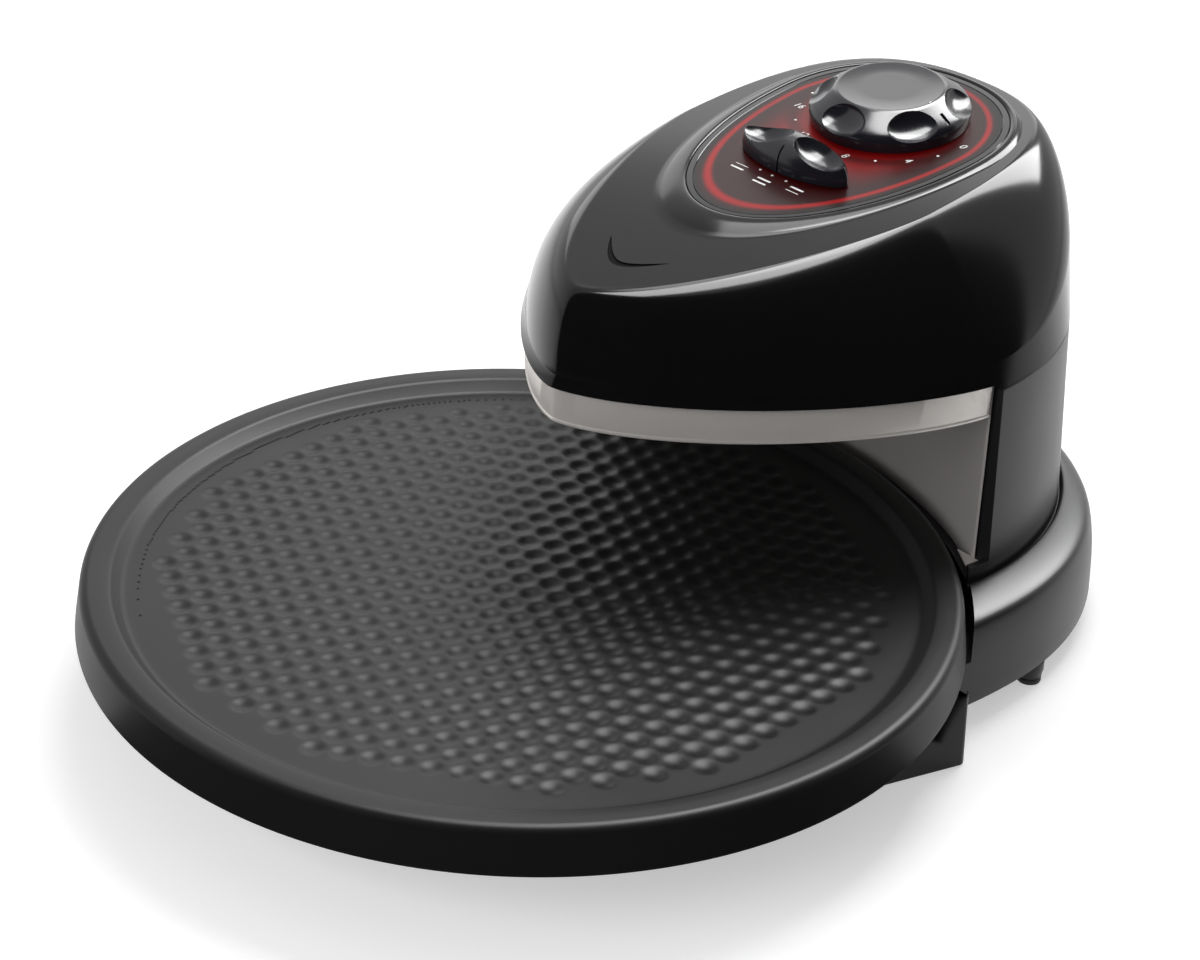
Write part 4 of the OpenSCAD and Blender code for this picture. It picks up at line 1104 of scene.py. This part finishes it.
def sees_background(nodes_add, links):
    """Sum of Is Camera Ray, Is Glossy Ray and Is Transmission Ray, held at one."""
    path = nodes_add("ShaderNodeLightPath")
    first = nodes_add("ShaderNodeMath")
    first.operation = "ADD"
    links.new(path.outputs["Is Camera Ray"], first.inputs[0])
    links.new(path.outputs["Is Glossy Ray"], first.inputs[1])
    both = nodes_add("ShaderNodeMath")
    both.operation = "ADD"
    both.use_clamp = True
    links.new(first.outputs["Value"], both.inputs[0])
    links.new(path.outputs["Is Transmission Ray"], both.inputs[1])
    return both.outputs["Value"]


def make_floor():
    bm = bmesh.new()
    bmesh.ops.create_grid(bm, x_segments=1, y_segments=1, size=FLOOR_SIZE)
    floor = make_piece("floor", bm)
    nodes = Nodes("floor")
    shader = nodes.shader
    shader.inputs["Base Color"].default_value = (0.8, 0.8, 0.8, 1)
    shader.inputs["Roughness"].default_value = 0.8
    shader.inputs["Specular IOR Level"].default_value = 0.1
    shader.inputs["Emission Color"].default_value = (1, 1, 1, 1)
    seen = sees_background(nodes.tree.nodes.new, nodes.tree.links)
    nodes.join(nodes.math("MULTIPLY", seen, FLOOR_GLOW), shader.inputs["Emission Strength"])
    set_material(floor, nodes.material)


def direction(turn, height):
    """Unit vector to a place turned about the object from the camera's side and raised, both in degrees."""
    a, e = AZIMUTH + math.radians(turn), math.radians(height)
    return Vector((math.sin(a) * math.cos(e), -math.cos(a) * math.cos(e), math.sin(e)))


def soft_box(name, turn, height, distance, size, watts):
    light = bpy.data.lights.new(name, "AREA")
    light.shape = "RECTANGLE"
    light.size, light.size_y = size
    light.energy = watts
    lamp = bpy.data.objects.new(name, light)
    aim = direction(turn, height)
    lamp.location = LIT_POINT + distance * aim
    lamp.rotation_euler = aim.to_track_quat("Z", "Y").to_euler()
    bpy.context.scene.collection.objects.link(lamp)
    return lamp


def make_light():
    """Lamps about the object. The strip and the rear panel show only in gloss, the fill never does."""
    soft_box("top_light", 164, 66, 1.5, (1.0, 0.7), 15)
    fill = soft_box("front_fill", -40, 24, 1.6, (1.2, 0.8), 11)
    fill.visible_glossy = False
    strip = soft_box("strip_light", 130, 67.5, 1.5, (0.7, 2.75), 115)
    strip.visible_diffuse = False
    panel = soft_box("rear_panel", 180, 22, 2.2, (2.0, 0.9), 10)
    panel.visible_diffuse = False
    world = bpy.data.worlds.new("studio")
    bpy.context.scene.world = world
    world.use_nodes = True
    tree = world.node_tree
    background = tree.nodes["Background"]
    background.inputs["Color"].default_value = (1, 1, 1, 1)
    mix = tree.nodes.new("ShaderNodeMapRange")
    mix.inputs["To Min"].default_value = WORLD_FILL
    mix.inputs["To Max"].default_value = 1.0
    tree.links.new(sees_background(tree.nodes.new, tree.links), mix.inputs["Value"])
    tree.links.new(mix.outputs["Result"], background.inputs["Strength"])


def card_sheet(bm, section, low, high):
    """Sheet about the object through a section of (radius, height), between two turns from the camera."""
    columns = []
    for i in range(17):
        out = direction(low + (high - low) * i / 16, 0)
        columns.append([bm.verts.new((r * out.x, r * out.y, z)) for r, z in section])
    for near, far in zip(columns, columns[1:]):
        for k in range(len(section) - 1):
            bm.faces.new((near[k], far[k], far[k + 1], near[k + 1]))


def make_flag():
    """Black studio card on the camera's side, seen only in reflections: the gloss facing it stays dark."""
    bm = bmesh.new()
    card_sheet(bm, [(r, CARD_Z) for r in (190, 700, 1300, CARD_R - 2)], -CARD_TURN, CARD_TURN)
    rise = [math.radians(e) for e in (0, 14, 28, 42, 56, 72)]
    card_sheet(bm, [(CARD_R * math.cos(e), CARD_R * math.sin(e)) for e in rise], -CARD_TURN, 100)
    flag = make_piece("black_card", bm)
    set_material(flag, FLAG_AND_PAINTED_SHADE_BLACK)
    flag.visible_camera = False
    flag.visible_diffuse = False
    flag.visible_shadow = False
    flag.visible_transmission = False


make_camera()
upper_housing()
control_panel()
dial_marks()
dial_numbers()
timer_knob()
selector_knob()
column_shell()
upper_reflector()
heat_shield()
base_pedestal()
base_tray()
feet()
baking_pan()
make_floor()
make_flag()
make_light()
bpy.context.scene.view_settings.view_transform = "Standard"
